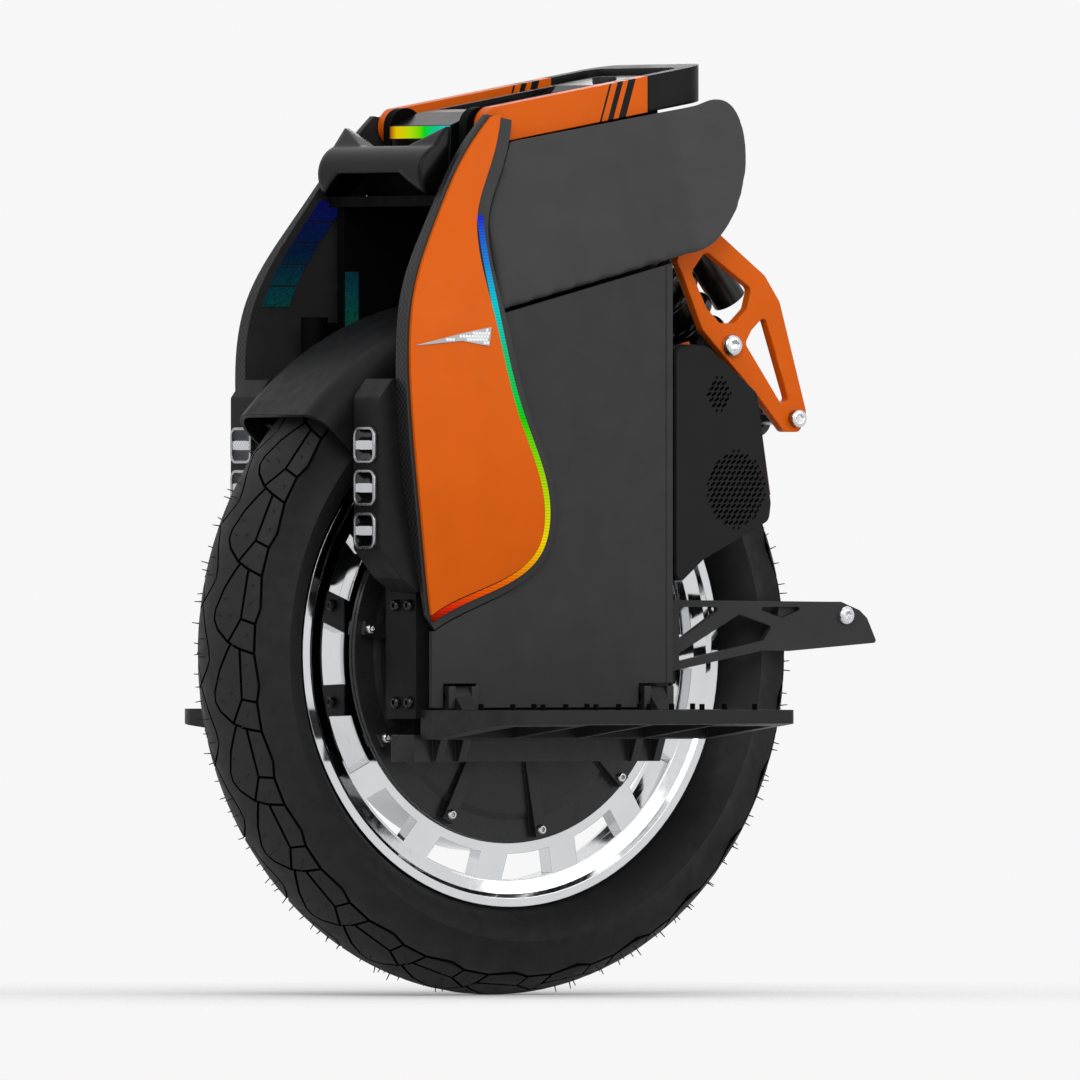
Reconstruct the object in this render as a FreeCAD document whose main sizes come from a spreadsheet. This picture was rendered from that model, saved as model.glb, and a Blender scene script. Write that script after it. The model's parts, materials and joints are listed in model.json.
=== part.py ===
import FreeCAD, Part
import math
import operator
import os
from types import SimpleNamespace

import Sketcher

# Electric unicycle. +X is forward, +Y is the rider's left and +Z is up. The origin is the point of the
# ground under the axle. Heights called levels are measured from the axle, which lies one tyre radius up.
SIZES = {
    # Clearances
    "fit_gap": 0.3,
    "slip_gap": 0.05,
    "panel_gap": 1,
    "overrun": 5,
    # Tyre and rim, as radii and half widths
    "tyre_radius": 254,
    "tyre_half": 45,
    "tread_half": 37,
    "tread_drop": 14,
    "widest_drop": 40,
    "tread_thick": 10,
    "sidewall": 7.5,
    "bead_inner": 12,
    "tyre_height": 78,
    "rim_flange_height": 12.5,
    "rim_flange_inner": 20,
    "rim_flange_thick": 5,
    "rim_lip": 6.5,
    "rim_step": 3,
    "rim_well_depth": 2.5,
    "rim_well_half": 8,
    "rim_wall": 4,
    "web_outer": 20,
    "web_thick": 14,
    "hub_depth": 35,
    "hub_wall": 6.5,
    "window_margin": 1.5,
    "window_count": 15,
    "valve_radius": 4,
    "valve_length": 15,
    # Motor
    "rotor_wall": 12,
    "motor_half": 20,
    "air_gap": 1,
    "stator_ring": 27,
    "stator_half": 16,
    "stator_web_half": 7,
    "stator_hub_radius": 24,
    "winding_height": 3.2,
    "winding_inset": 2,
    "cover_thick": 3.2,
    "cover_step": 2,
    "cover_dome": 5,
    "cover_boss_wall": 8,
    "cover_boss_height": 15,
    "rib_count": 10,
    "rib_width": 10,
    "rib_height": 8,
    "rib_inner_radius": 72,
    "screw_inset": 8,
    "screw_radius": 2,
    "screw_head_radius": 3.8,
    "screw_head_height": 3,
    "screw_length": 20,
    "bearing_radius": 26,
    "bearing_width": 14,
    "bearing_start": 16.5,
    # Axle and wheel carriage
    "axle_radius": 12.5,
    "axle_shoulder": 3.5,
    "axle_end_radius": 10,
    "axle_end_out": 76,
    "nut_across": 30,
    "nut_height": 12,
    "plate_inner": 47,
    "plate_thick": 8,
    "block_half_height": 48,
    "block_wall": 5,
    "block_outer": 86,
    "travel": 60,
    "tube_radius": 10,
    "tube_out": 72,
    "tube_front": 111,
    "tube_rear": -71,
    "tube_bottom": -74,
    "tube_top": 250,
    "bush_wall": 3,
    "bush_length": 16,
    "bush_inset": 2,
    "fender_clear": 8,
    "fender_wall": 3,
    "fender_skirt": 2.5,
    "fender_drop": 36,
    "fender_shoulder": 20,
    "fender_front_angle": 42,
    "fender_rear_angle": 100,
    "front_arm_reach": 122,
    "front_arm_width": 30,
    "rear_plate_reach": 128,
    "plate_web_half": 44,
    "arm_end": 17,
    "slider_bolt_radius": 4.5,
    "slider_bolt_height": 4,
    "slider_bolt_level": 36,
    "slider_bolt_inset": 7,
    # Rear mudguard
    "truss_thick": 5,
    "truss_front": -96,
    "truss_overhang": 55,
    "truss_low": -18,
    "truss_high": 40,
    "truss_round": 2,
    "head_overlap": 32,
    "head_clear": 7,
    "head_inset": 4,
    "head_low": 4,
    "head_high": 36,
    "guard_bolt_radius": 7,
    "guard_bolt_height": 4,
    "guard_bolt_out": 26,
    "guard_bolt_level": 28,
    # Rear shock
    "shock_plate_thick": 8,
    "shock_plate_length": 122,
    "shock_plate_height": 150,
    "shock_plate_edge": 10,
    "shock_plate_round": 5,
    "mid_bolt_ahead": 58.5,
    "mid_bolt_level": 229.5,
    "mid_bolt_radius": 8.5,
    "mid_bolt_height": 5,
    "eye_inset": 22,
    "eye_level": 175,
    "eye_pin_radius": 4.5,
    "eye_pin_head": 6.5,
    "eye_play": 4,
    "eye_wall": 5,
    "eye_half": 13,
    "shock_length": 195,
    "shock_lean": 37.7,
    "rod_radius": 6,
    "rod_top": 118,
    "rod_stem": 10,
    "seat_radius": 25,
    "seat_thick": 5,
    "lower_seat": 29,
    "upper_seat": 158,
    "damper_radius": 14,
    "damper_bottom": 82,
    "damper_bore_end": 174,
    "damper_bore": 8,
    "damper_gland": 8,
    "neck_radius": 16,
    "coil_radius": 20.5,
    "coil_wire_radius": 4.4,
    "coil_turns": 7,
    "reservoir_radius": 13,
    "reservoir_offset": 42,
    "reservoir_bottom": 80,
    "bridge_half": 9,
    "bridge_thick": 16,
    # Body frame
    "hanger_inner": 54,
    "hanger_outer": 84,
    "hanger_low": -80,
    "hanger_high": -60,
    "side_frame_inner": 60,
    "side_frame_thick": 8,
    "side_frame_low": 114,
    "side_frame_high": 332,
    "tray_outer": 96,
    "tray_high": 246,
    "tray_wall": 3,
    "clamp_low": 122,
    "clamp_high": 182,
    "deck_thick": 8,
    "deck_front": 98,
    "deck_rear": -92,
    "deck_half": 72,
    "lug_inner": 17,
    "lug_thick": 8,
    "lug_edge": 13,
    "controller_front": 76,
    "controller_rear": -84,
    "controller_half": 54,
    "controller_high": 372,
    "hood_half": 38,
    "hood_front": 64,
    "hood_rear": -124,
    "hood_chin": 392.5,
    "hood_nose": 40,
    "hood_wall": 3,
    "hood_below_handle": 4,
    "trough_half": 31,
    "trough_depth": 5,
    "trough_front": 28,
    "trough_rear": -80,
    "trough_ramp": 12,
    "lens_front": 12,
    "lens_rear": -64,
    "lens_half": 27,
    "lens_thick": 1.2,
    "button_radius": 9,
    "button_height": 5,
    "button_place": -102,
    "button_stand": 2.5,
    "inlet_radius": 12,
    "inlet_bore": 8,
    "inlet_depth": 14,
    "inlet_flange": 2,
    "inlet_level": 392,
    "brow_front": 112,
    "brow_back": 84,
    "brow_half": 66,
    "brow_side_high": 391,
    "brow_mid_high": 377,
    "brow_mid_low": 357,
    "brow_flat_half": 31,
    "brow_arch_half": 40,
    "ear_thick": 10,
    "ear_half": 14,
    "bar_high": 392,
    "bar_low": 383,
    "bar_half": 37,
    "bar_thick": 3,
    # Side panels
    "body_half": 115,
    "fairing_front": 152,
    "fairing_rear": 31.5,
    "fairing_low": 28.6,
    "fairing_high": 400,
    "fairing_thick": 3,
    "frame_border": 12,
    "frame_front_margin": 3,
    "strip_gap": 1.5,
    "strip_width": 4,
    "strip_thick": 2,
    "reflector_thick": 0.8,
    "cover_panel_thick": 4,
    "cover_front": 124,
    "cover_rear": -94,
    "cover_low": -40,
    "split_front": 60,
    "split_front_level": 252,
    "split_rear_level": 290,
    "pad_inner": 72.3,
    "pad_front": 42,
    "pad_rear": -178,
    "pad_rise": 17,
    "pad_slope": 29,
    "pad_round": 3,
    "pod_inner": 63,
    "pod_outer": 97.6,
    "pod_front": 169,
    "pod_low": 42,
    "pod_high": 204,
    "pod_round": 4,
    "lamp_size": 26,
    "lamp_round": 6,
    "lamp_thick": 3.5,
    "lamp_level": 123,
    "lamp_pitch": 31.7,
    "speaker_front": -99,
    "speaker_rear": -196,
    "speaker_low": 48,
    "speaker_high": 230,
    "speaker_inner": 66,
    "speaker_outer_front": 95,
    "speaker_outer_rear": 82,
    "speaker_wall": 3,
    "speaker_round": 7,
    "speaker_large_radius": 27,
    "speaker_large_back": 160,
    "speaker_large_level": 122,
    "speaker_small_radius": 11,
    "speaker_small_back": 143,
    "speaker_small_level": 193,
    "speaker_depth": 12,
    "tail_light_thick": 3,
    "tail_light_low": 118,
    "tail_light_high": 186,
    # Pedals
    "pedal_front": 125,
    "pedal_inner": 86.5,
    "pedal_outer": 215.5,
    "pedal_top": -41.5,
    "pedal_root_thick": 22,
    "pedal_edge_thick": 10,
    "pedal_lead": 15,
    "pedal_corner": 22,
    "pedal_tail_corner": 6,
    "pedal_shell": 5,
    "pedal_rim": 9,
    "pedal_rib": 5,
    "hinge_out": 97,
    "hinge_level": -32,
    "hinge_pin_radius": 4,
    "knuckle_radius": 8,
    "knuckle_half": 7,
    "hinge_lug": 6,
    "hinge_front": 99,
    "hinge_rear": -78,
    "stud_radius": 2,
    "stud_height": 4.5,
    # Top handle
    "handle_pivot": 47,
    "handle_pivot_level": 392,
    "handle_inner": 56,
    "handle_outer": 69,
    "handle_depth": 27,
    "handle_rear": -150,
    "handle_rise": 34,
    "handle_split_share": 0.71,
    "grip_round": 22,
    "handle_pin_radius": 5,
}

# Share tables of the outlines, chosen by hand
FAIRING_FRONT_shares = [(0.79, 0.0), (0.934, 0.23), (1.0, 0.432), (0.95, 0.631), (0.668, 0.8),
                        (0.46, 0.9), (0.2, 0.995)]
FAIRING_REAR_shares = [(0.13, 1.0), (0.236, 0.9), (0.386, 0.8), (0.355, 0.59), (0.195, 0.391),
                       (0.0, 0.211),
                       (0.02, 0.141), (0.452, 0.05), (0.79, 0.0)]
NOTCH_POINT = 2
SKIN_OUTER_shares = [(-0.06, 0.893), (0.0, 0.904), (0.192, 0.983), (0.43, 1.0), (0.628, 0.948),
                     (0.731, 0.87),
                     (0.83, 0.783), (0.92, 0.722), (1.0, 0.687), (1.04, 0.675)]
SKIN_INNER_shares = [(-0.06, 0.853), (0.2, 0.853), (0.45, 0.853), (0.56, 0.848), (0.628, 0.82),
                     (0.731, 0.763),
                     (0.83, 0.7), (0.92, 0.643), (1.0, 0.615), (1.04, 0.61)]
REFLECTOR_shares = [(0.98, 0.537), (0.62, 0.547), (0.42, 0.537), (0.395, 0.575), (0.62, 0.562)]
SHOCK_PLATE_shares = [(0.033, 0.847), (0.08, 0.98), (0.336, 0.991), (0.689, 0.777), (0.8, 0.647),
                      (1.0, 0.1), (0.95, 0.0),
                      (0.836, 0.0), (0.636, 0.18), (0.226, 0.505), (0.077, 0.777)]
SHOCK_WINDOW_shares = [
    [(0.139, 0.793), (0.246, 0.9), (0.59, 0.713), (0.557, 0.613), (0.459, 0.54), (0.352, 0.54),
     (0.254, 0.613)],
    [(0.59, 0.507), (0.689, 0.58), (0.869, 0.16), (0.81, 0.14), (0.541, 0.44)],
]
TRUSS_shares = [(0.0, 1.0), (0.793, 0.971), (0.845, 0.971), (0.925, 0.862), (0.958, 0.759), (1.0, 0.443),
                (0.62, 0.336),
                (0.512, 0.345), (0.0, 0.0)]
TRUSS_WINDOW_shares = [
    [(0.15, 0.905), (0.338, 0.905), (0.15, 0.474)],
    [(0.15, 0.207), (0.15, 0.31), (0.408, 0.81), (0.549, 0.655), (0.512, 0.474)],
    [(0.469, 0.905), (0.7, 0.905), (0.59, 0.76)],
]
HEAD_OVER_shares = [(0.82, 0.93), (0.9, 0.84), (0.935, 0.74), (0.975, 0.46), (1.1, 0.46), (1.1, 1.2), (0.82, 1.2)]
HEAD_UNDER_shares = [(0.6, 0.36), (1.1, 0.5), (1.1, 0.2), (0.6, 0.2)]
POD_shares = [(0.0, 0.0), (0.54, 0.09), (1.0, 0.22), (1.0, 0.915), (0.72, 1.0), (0.0, 1.0)]
SPEAKER_shares = [(0.0, 0.0), (0.0, 0.98), (0.18, 1.0), (0.35, 0.99), (0.86, 0.8), (1.0, 0.35),
                  (0.98, 0.28), (0.3, 0.12)]
WINDOW_SPAN_shares = {"inner_low": -0.36, "outer_low": -0.33, "outer_high": 0.33, "inner_high": 0.25}
QUARTER_ROUND_share = 0.2071
HALF_ROUND_share = 0.499
HANDLE_END_share = 0.32
BROW_ROUND_share = 0.15
SIDEWALL_share = 0.13
SHOULDER_share = 0.08
PAD_REAR_shares = [(0.8, 1.0), (0.965, 0.975), (1.0, 0.83), (0.975, 0.59), (0.86, 0.36), (0.7, 0.0)]
PAD_SIDE_shares = [(-0.1, 0.885), (0.0, 0.88), (0.2, 0.855), (0.42, 0.775), (0.6, 0.72), (0.8, 0.685),
                   (1.0, 0.66), (1.1, 0.65)]
STUD_shares = [(x / 3, y) for y in (0.05, 0.47, 0.87) for x in (-2.3, -1.15, 0, 1.15, 2.3)]


class Size:
    """A number together with the sheet expression that gives it."""

    def __init__(self, value, text):
        self.value = value
        self.text = text

    def __float__(self):
        return float(self.value)

    def __add__(self, other):
        return combine(self, "+", other)

    def __radd__(self, other):
        return combine(other, "+", self)

    def __sub__(self, other):
        return combine(self, "-", other)

    def __rsub__(self, other):
        return combine(other, "-", self)

    def __mul__(self, other):
        return combine(self, "*", other)

    def __rmul__(self, other):
        return combine(other, "*", self)

    def __truediv__(self, other):
        return combine(self, "/", other)

    def __neg__(self):
        return combine(0, "-", self)


OPERATIONS = {"+": operator.add, "-": operator.sub, "*": operator.mul, "/": operator.truediv}


def as_size(thing):
    return thing if isinstance(thing, Size) else Size(thing, "%.9g" % thing)


def combine(first, sign, second):
    first = as_size(first)
    second = as_size(second)
    value = OPERATIONS[sign](first.value, second.value)
    return Size(value, "(%s %s %s)" % (first.text, sign, second.text))


def root(size):
    return Size(math.sqrt(size.value), "sqrt(%s)" % size.text)


doc = FreeCAD.newDocument("electric_unicycle")
sheet = doc.addObject("Spreadsheet::Sheet", "Sizes")
for row, (name, value) in enumerate(SIZES.items(), 1):
    sheet.set("A%d" % row, name)
    sheet.set("B%d" % row, str(value))
    sheet.setAlias("B%d" % row, name)
doc.recompute()
dim = SimpleNamespace(**{name: Size(value, "Sizes." + name) for name, value in SIZES.items()})

# Sizes that follow the tyre
dim.rim_seat_radius = dim.tyre_radius - dim.tyre_height
dim.hub_radius = dim.rim_seat_radius - dim.hub_depth
dim.screw_circle = dim.hub_radius - dim.screw_inset
dim.head_start = dim.tyre_radius - dim.head_overlap
dim.truss_rear = -dim.tyre_radius - dim.truss_overhang
dim.guard_bolt_back = dim.tyre_radius + dim.guard_bolt_out
dim.eye_back = dim.tyre_radius - dim.eye_inset
dim.mid_bolt_back = dim.eye_back - dim.mid_bolt_ahead

SUB_PARTS = []
UP = FreeCAD.Vector(0, 0, 1)
LEFT = FreeCAD.Vector(0, 1, 0)
FORWARD = FreeCAD.Vector(1, 0, 0)


def bind(thing, slot, size):
    thing.setExpression(slot, as_size(size).text)


def keep(thing, label):
    """Name a finished sub-part and list it for the hand-over."""
    thing.Label = label
    SUB_PARTS.append(thing)
    return thing


def new_body(name):
    """A body whose own origin is the middle of the axle."""
    body = doc.addObject("PartDesign::Body", name)
    bind(body, "Placement.Base.z", dim.tyre_radius)
    return body


def origin_feature(body, role):
    return [feature for feature in body.Origin.OriginFeatures if feature.Role == role][0]


def new_sketch(body, plane, level):
    """A sketch on one of the body's planes, moved along the axis that the plane faces."""
    sketch = body.newObject("Sketcher::SketchObject", "Sketch")
    sketch.AttachmentSupport = (origin_feature(body, plane), [""])
    sketch.MapMode = "FlatFace"
    side = -1 if plane == "XZ_Plane" else 1
    bind(sketch, "AttachmentOffset.Base.z", as_size(level) * side)
    return sketch


def pin_point(sketch, geometry, point, place):
    """Fix a point of the sketch at a pair of sizes."""
    for kind, axis, size in (("DistanceX", -2, place[0]), ("DistanceY", -1, place[1])):
        size = as_size(size)
        if size.value == 0:
            sketch.addConstraint(Sketcher.Constraint("PointOnObject", geometry, point, axis))
        else:
            number = sketch.addConstraint(Sketcher.Constraint(kind, -1, 1, geometry, point, size.value))
            sketch.setExpression("Constraints[%d]" % number, size.text)


def set_radius(sketch, geometry, radius):
    number = sketch.addConstraint(Sketcher.Constraint("Radius", geometry, float(radius)))
    sketch.setExpression("Constraints[%d]" % number, as_size(radius).text)


def arc_through(start, end, bulge):
    """An arc whose height is a share of its chord; a positive one swells to the right of its way."""
    chord = end - start
    middle = (start + end) * 0.5 + FreeCAD.Vector(chord.y, -chord.x, 0) * bulge
    return Part.Arc(start, middle, end)


def arc_radius(start, end, bulge):
    run = as_size(end[0] - start[0])
    rise = as_size(end[1] - start[1])
    chord = root(run * run + rise * rise)
    return chord * (1 / (8 * abs(bulge)) + abs(bulge) / 2)


def draw_outline(sketch, corners, arcs):
    """A closed outline with every corner and every arc bound to the sheet."""
    points = [FreeCAD.Vector(float(x), float(y), 0) for x, y in corners]
    sides = []
    for index, start in enumerate(points):
        end = points[(index + 1) % len(points)]
        shape = arc_through(start, end, arcs[index]) if index in arcs else Part.LineSegment(start, end)
        sides.append(sketch.addGeometry(shape, False))

    def end_at(side, point):
        first = sketch.getPoint(side, 1).distanceToPoint(point)
        second = sketch.getPoint(side, 2).distanceToPoint(point)
        return 1 if first < second else 2

    for index, side in enumerate(sides):
        before = sides[index - 1]
        point = points[index]
        joint = Sketcher.Constraint("Coincident", before, end_at(before, point), side,
                                    end_at(side, point))
        sketch.addConstraint(joint)
        pin_point(sketch, side, end_at(side, point), corners[index])
    for index, bulge in arcs.items():
        following = corners[(index + 1) % len(corners)]
        set_radius(sketch, sides[index], arc_radius(corners[index], following, bulge))


def rounded(x0, x1, y0, y1, radius):
    """Corners and arcs of a rectangle with round corners."""
    corners = [(x0 + radius, y0), (x1 - radius, y0), (x1, y0 + radius), (x1, y1 - radius),
               (x1 - radius, y1), (x0 + radius, y1), (x0, y1 - radius), (x0, y0 + radius)]
    return corners, {side: QUARTER_ROUND_share for side in (1, 3, 5, 7)}


def soften(corners, radius):
    """An outline with each of its corners rounded, as corners and arcs."""
    points = [FreeCAD.Vector(float(x), float(y), 0) for x, y in corners]
    softened = []
    arcs = {}
    for index, (corner, point) in enumerate(zip(corners, points)):
        following = (index + 1) % len(corners)
        back = points[index - 1] - point
        ahead = points[following] - point
        turn = math.pi - back.getAngle(ahead)
        run = min(float(radius) * math.tan(turn / 2), back.Length / 3, ahead.Length / 3)
        side = 1 if ahead.cross(back).z > 0 else -1
        arcs[len(softened)] = side * math.tan(turn / 4) / 2
        for other, length in ((corners[index - 1], back.Length), (corners[following], ahead.Length)):
            softened.append(tuple(here + (there - here) * (run / length) for here,
                                  there in zip(corner, other)))
    return softened, arcs


def rectangle(x0, x1, y0, y1):
    return [(x0, y0), (x1, y0), (x1, y1), (x0, y1)]


def spread(shares, x0, x1, y0, y1):
    """Places that are shares of a box."""
    return [(x0 + (x1 - x0) * a, y0 + (y1 - y0) * b) for a, b in shares]


def slab(body, plane, start, length, corners, arcs=None):
    """Add an outline, raised from its start along the axis that the plane faces."""
    sketch = new_sketch(body, plane, start)
    draw_outline(sketch, corners, arcs or {})
    feature = body.newObject("PartDesign::Pad", "Pad")
    feature.Profile = sketch
    feature.Reversed = plane == "XZ_Plane"
    bind(feature, "Length", length)
    return feature


def pocket_sketch(body, plane, sketch, length):
    feature = body.newObject("PartDesign::Pocket", "Pocket")
    feature.Profile = sketch
    feature.Reversed = plane != "XZ_Plane"
    bind(feature, "Length", length)
    return feature


def opening(body, plane, start, length, corners, arcs=None):
    """Cut an outline from its start along the axis that the plane faces."""
    sketch = new_sketch(body, plane, start)
    draw_outline(sketch, corners, arcs or {})
    return pocket_sketch(body, plane, sketch, length)


def bore(body, plane, start, length, centre, radius):
    """Cut a round hole from its start along the axis that the plane faces."""
    sketch = new_sketch(body, plane, start)
    middle = FreeCAD.Vector(float(centre[0]), float(centre[1]), 0)
    circle = sketch.addGeometry(Part.Circle(middle, UP, float(radius)), False)
    pin_point(sketch, circle, 3, centre)
    set_radius(sketch, circle, radius)
    return pocket_sketch(body, plane, sketch, length)


def post(body, plane, start, length, centre, radius):
    """Add a round post from its start along the axis that the plane faces."""
    sketch = new_sketch(body, plane, start)
    middle = FreeCAD.Vector(float(centre[0]), float(centre[1]), 0)
    circle = sketch.addGeometry(Part.Circle(middle, UP, float(radius)), False)
    pin_point(sketch, circle, 3, centre)
    set_radius(sketch, circle, radius)
    feature = body.newObject("PartDesign::Pad", "Pad")
    feature.Profile = sketch
    feature.Reversed = plane == "XZ_Plane"
    bind(feature, "Length", length)
    return feature


def turned(body, corners, arcs=None, axis="V_Axis"):
    """Turn an outline of radii and heights round the body's Y axis."""
    sketch = new_sketch(body, "XY_Plane", 0)
    draw_outline(sketch, corners, arcs or {})
    feature = body.newObject("PartDesign::Revolution", "Revolution")
    feature.Profile = sketch
    feature.ReferenceAxis = (sketch, [axis])
    feature.Angle = 360
    return feature


def ring_pattern(body, features, count):
    """Repeat features round the body's Y axis."""
    pattern = body.newObject("PartDesign::PolarPattern", "PolarPattern")
    pattern.Originals = features
    pattern.Axis = (origin_feature(body, "Y_Axis"), [""])
    pattern.Angle = 360
    bind(pattern, "Occurrences", count)
    body.Tip = pattern
    return pattern


def mirrored(source, name):
    mirror = doc.addObject("Part::Mirroring", name)
    mirror.Source = source
    mirror.Normal = LEFT
    return mirror


def group(members, label):
    """One sub-part of several separate solids."""
    compound = doc.addObject("Part::Compound", label)
    compound.Links = members
    return keep(compound, label)


def pair(left, label):
    """One sub-part of a left piece and its twin."""
    return group([left, mirrored(left, label + "_twin")], label)


def twins(left, label):
    """Two sub-parts, left and right."""
    keep(left, label + "_left")
    return keep(mirrored(left, label + "_right"), label + "_right")


def copies(source, places, label):
    """One sub-part of like pieces; each place is three sizes and a rotation."""
    links = []
    for x, y, z, turn in places:
        link = doc.addObject("App::Link", label + "_copy")
        link.LinkedObject = source
        link.Placement = FreeCAD.Placement(FreeCAD.Vector(), turn)
        for slot, size in (("x", x), ("y", y), ("z", z)):
            bind(link, "Placement.Base." + slot, size)
        links.append(link)
    return group(links, label)


def solid_piece(shape, name):
    """A piece with a free form, made round the axle and then lifted to its height."""
    piece = doc.addObject("Part::Feature", name)
    piece.Shape = shape
    bind(piece, "Placement.Base.z", dim.tyre_radius)
    return piece


def head_screw(name, head_radius, head_height, shank_radius, shank_length):
    """A screw along Y with the underside of its head at the origin."""
    body = doc.addObject("PartDesign::Body", name)
    corners = [(0, -shank_length), (shank_radius, -shank_length), (shank_radius, 0), (head_radius, 0),
               (head_radius, head_height), (0, head_height)]
    turned(body, corners)
    return body


NO_TURN = FreeCAD.Rotation()
FACE_RIGHT = FreeCAD.Rotation(UP, 180)
FACE_FORWARD = FreeCAD.Rotation(UP, -90)


# Wheel

def make_tyre():
    body = new_body("tyre")
    seat = dim.rim_seat_radius + dim.fit_gap
    lip = dim.rim_seat_radius + dim.rim_flange_height + dim.fit_gap
    bead_outer = dim.rim_flange_inner - dim.fit_gap
    widest = dim.tyre_radius - dim.widest_drop
    shoulder = dim.tyre_radius - dim.tread_drop
    half = [
        (shoulder, dim.tread_half),
        (widest, dim.tyre_half),
        (lip, bead_outer),
        (seat, bead_outer),
        (seat, dim.bead_inner),
        (lip, dim.bead_inner),
        (widest, dim.tyre_half - dim.sidewall),
        (shoulder - dim.tread_thick, dim.tread_half - dim.sidewall),
    ]
    other_half = [(radius, -across) for radius, across in reversed(half)]
    crown = float(dim.tread_drop) / float(dim.tread_half * 2)
    arcs = {0: SHOULDER_share, 1: SIDEWALL_share, 5: -SIDEWALL_share, 6: -SHOULDER_share, 7: -crown,
            8: -SHOULDER_share, 9: -SIDEWALL_share, 13: SIDEWALL_share, 14: SHOULDER_share, 15: crown}
    turned(body, half + other_half, arcs)
    keep(body, "tyre")


def make_rim():
    body = new_body("rim")
    flange = dim.rim_seat_radius + dim.rim_flange_height
    flange_outer = dim.rim_flange_inner + dim.rim_flange_thick
    flange_middle = dim.rim_flange_inner + dim.rim_flange_thick / 2
    lip = flange - dim.rim_lip
    well = dim.rim_seat_radius - dim.rim_well_depth
    barrel = well - dim.rim_wall
    web_inner = dim.web_outer - dim.web_thick
    hub_outer = dim.hub_radius + dim.hub_wall
    seat_edge = dim.rim_well_half + dim.rim_wall
    corners = [
        (dim.hub_radius, -dim.motor_half),
        (hub_outer, -dim.motor_half),
        (hub_outer, web_inner),
        (barrel, web_inner),
        (barrel, -dim.rim_well_half),
        (dim.rim_seat_radius - dim.rim_wall, dim.rim_step - dim.rim_flange_inner),
        (lip - dim.rim_step, -flange_middle),
        (lip, -flange_outer),
        (flange, -flange_outer),
        (flange, -dim.rim_flange_inner),
        (dim.rim_seat_radius, -dim.rim_flange_inner),
        (dim.rim_seat_radius, -seat_edge),
        (well, -dim.rim_well_half),
        (well, dim.rim_well_half),
        (dim.rim_seat_radius, seat_edge),
        (dim.rim_seat_radius, dim.rim_flange_inner),
        (flange, dim.rim_flange_inner),
        (flange, flange_outer),
        (lip, flange_outer),
        (lip - dim.rim_step, flange_middle),
        (barrel, dim.web_outer),
        (dim.hub_radius, dim.web_outer),
    ]
    turned(body, corners)
    pitch = 360 / SIZES["window_count"]
    angles = {name: math.radians(pitch * share) for name, share in WINDOW_SPAN_shares.items()}
    inner = hub_outer + dim.window_margin
    outer = barrel - dim.window_margin
    window = [(radius * math.cos(angles[name]), radius * math.sin(angles[name])) for radius, name in (
        (inner, "inner_low"), (outer, "outer_low"), (outer, "outer_high"), (inner, "inner_high"))]
    outer_bulge = math.tan((angles["outer_high"] - angles["outer_low"]) / 4) / 2
    inner_bulge = math.tan((angles["inner_high"] - angles["inner_low"]) / 4) / 2
    cut = opening(body, "XZ_Plane", web_inner - dim.overrun, dim.web_thick + dim.overrun * 2, window,
                  {1: outer_bulge, 3: -inner_bulge})
    ring_pattern(body, [cut], dim.window_count)
    keep(body, "rim")


def make_rotor_ring():
    body = new_body("rotor_ring")
    outer = dim.hub_radius - dim.slip_gap
    half = dim.motor_half - dim.fit_gap
    turned(body, rectangle(dim.hub_radius - dim.rotor_wall, outer, -half, half))
    hole = bore(body, "XZ_Plane", -dim.motor_half - dim.overrun, dim.motor_half * 2 + dim.overrun * 2,
                (dim.screw_circle, 0), dim.screw_radius + dim.slip_gap)
    ring_pattern(body, [hole], dim.rib_count)
    body.Placement.Rotation = RIB_TURN
    keep(body, "rotor_ring")


RIB_TURN = FreeCAD.Rotation(LEFT, -8)


def make_motor_covers():
    body = new_body("motor_cover")
    low = dim.motor_half + dim.fit_gap
    face = low + dim.cover_thick
    edge = dim.hub_radius - dim.slip_gap
    seat = dim.bearing_radius + dim.slip_gap
    boss = seat + dim.cover_boss_wall
    boss_low = low - dim.cover_dome
    top = face + dim.cover_step
    corners = [
        (seat, boss_low),
        (boss, boss_low),
        (boss, low),
        (edge, low),
        (edge, face),
        (edge - dim.rotor_wall - dim.cover_dome, face),
        (edge - dim.rotor_wall - dim.cover_dome * 2, top),
        (dim.rib_inner_radius, top + dim.cover_step),
        (boss + dim.cover_boss_wall, top + dim.cover_step),
        (boss, low + dim.cover_boss_height),
        (seat, low + dim.cover_boss_height),
    ]
    turned(body, corners)
    rib = slab(body, "XZ_Plane", low + dim.cover_step, dim.rib_height,
               rectangle(dim.rib_inner_radius, dim.screw_circle + dim.rib_width / 2, -dim.rib_width / 2,
                         dim.rib_width / 2))
    hole = bore(body, "XZ_Plane", low - dim.overrun, dim.rib_height + dim.overrun * 2,
                (dim.screw_circle, 0), dim.screw_radius + dim.slip_gap)
    ring_pattern(body, [rib, hole], dim.rib_count)
    body.Placement.Rotation = RIB_TURN
    pair(body, "motor_covers")


def make_motor_cover_screws():
    screw = head_screw("motor_cover_screw", dim.screw_head_radius, dim.screw_head_height,
                       dim.screw_radius, dim.screw_length)
    seat = dim.motor_half + dim.fit_gap + dim.cover_step + dim.rib_height
    places = []
    for number in range(SIZES["rib_count"]):
        angle = math.radians(8 + 360 * number / SIZES["rib_count"])
        x = dim.screw_circle * math.cos(angle)
        z = dim.tyre_radius + dim.screw_circle * math.sin(angle)
        places.append((x, seat, z, NO_TURN))
        places.append((x, -seat, z, FACE_RIGHT))
    copies(screw, places, "motor_cover_screws")


def make_wheel_bearings():
    body = new_body("wheel_bearing")
    turned(body, rectangle(dim.axle_radius + dim.slip_gap, dim.bearing_radius,
                           dim.bearing_start, dim.bearing_start + dim.bearing_width))
    pair(body, "wheel_bearings")


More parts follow.
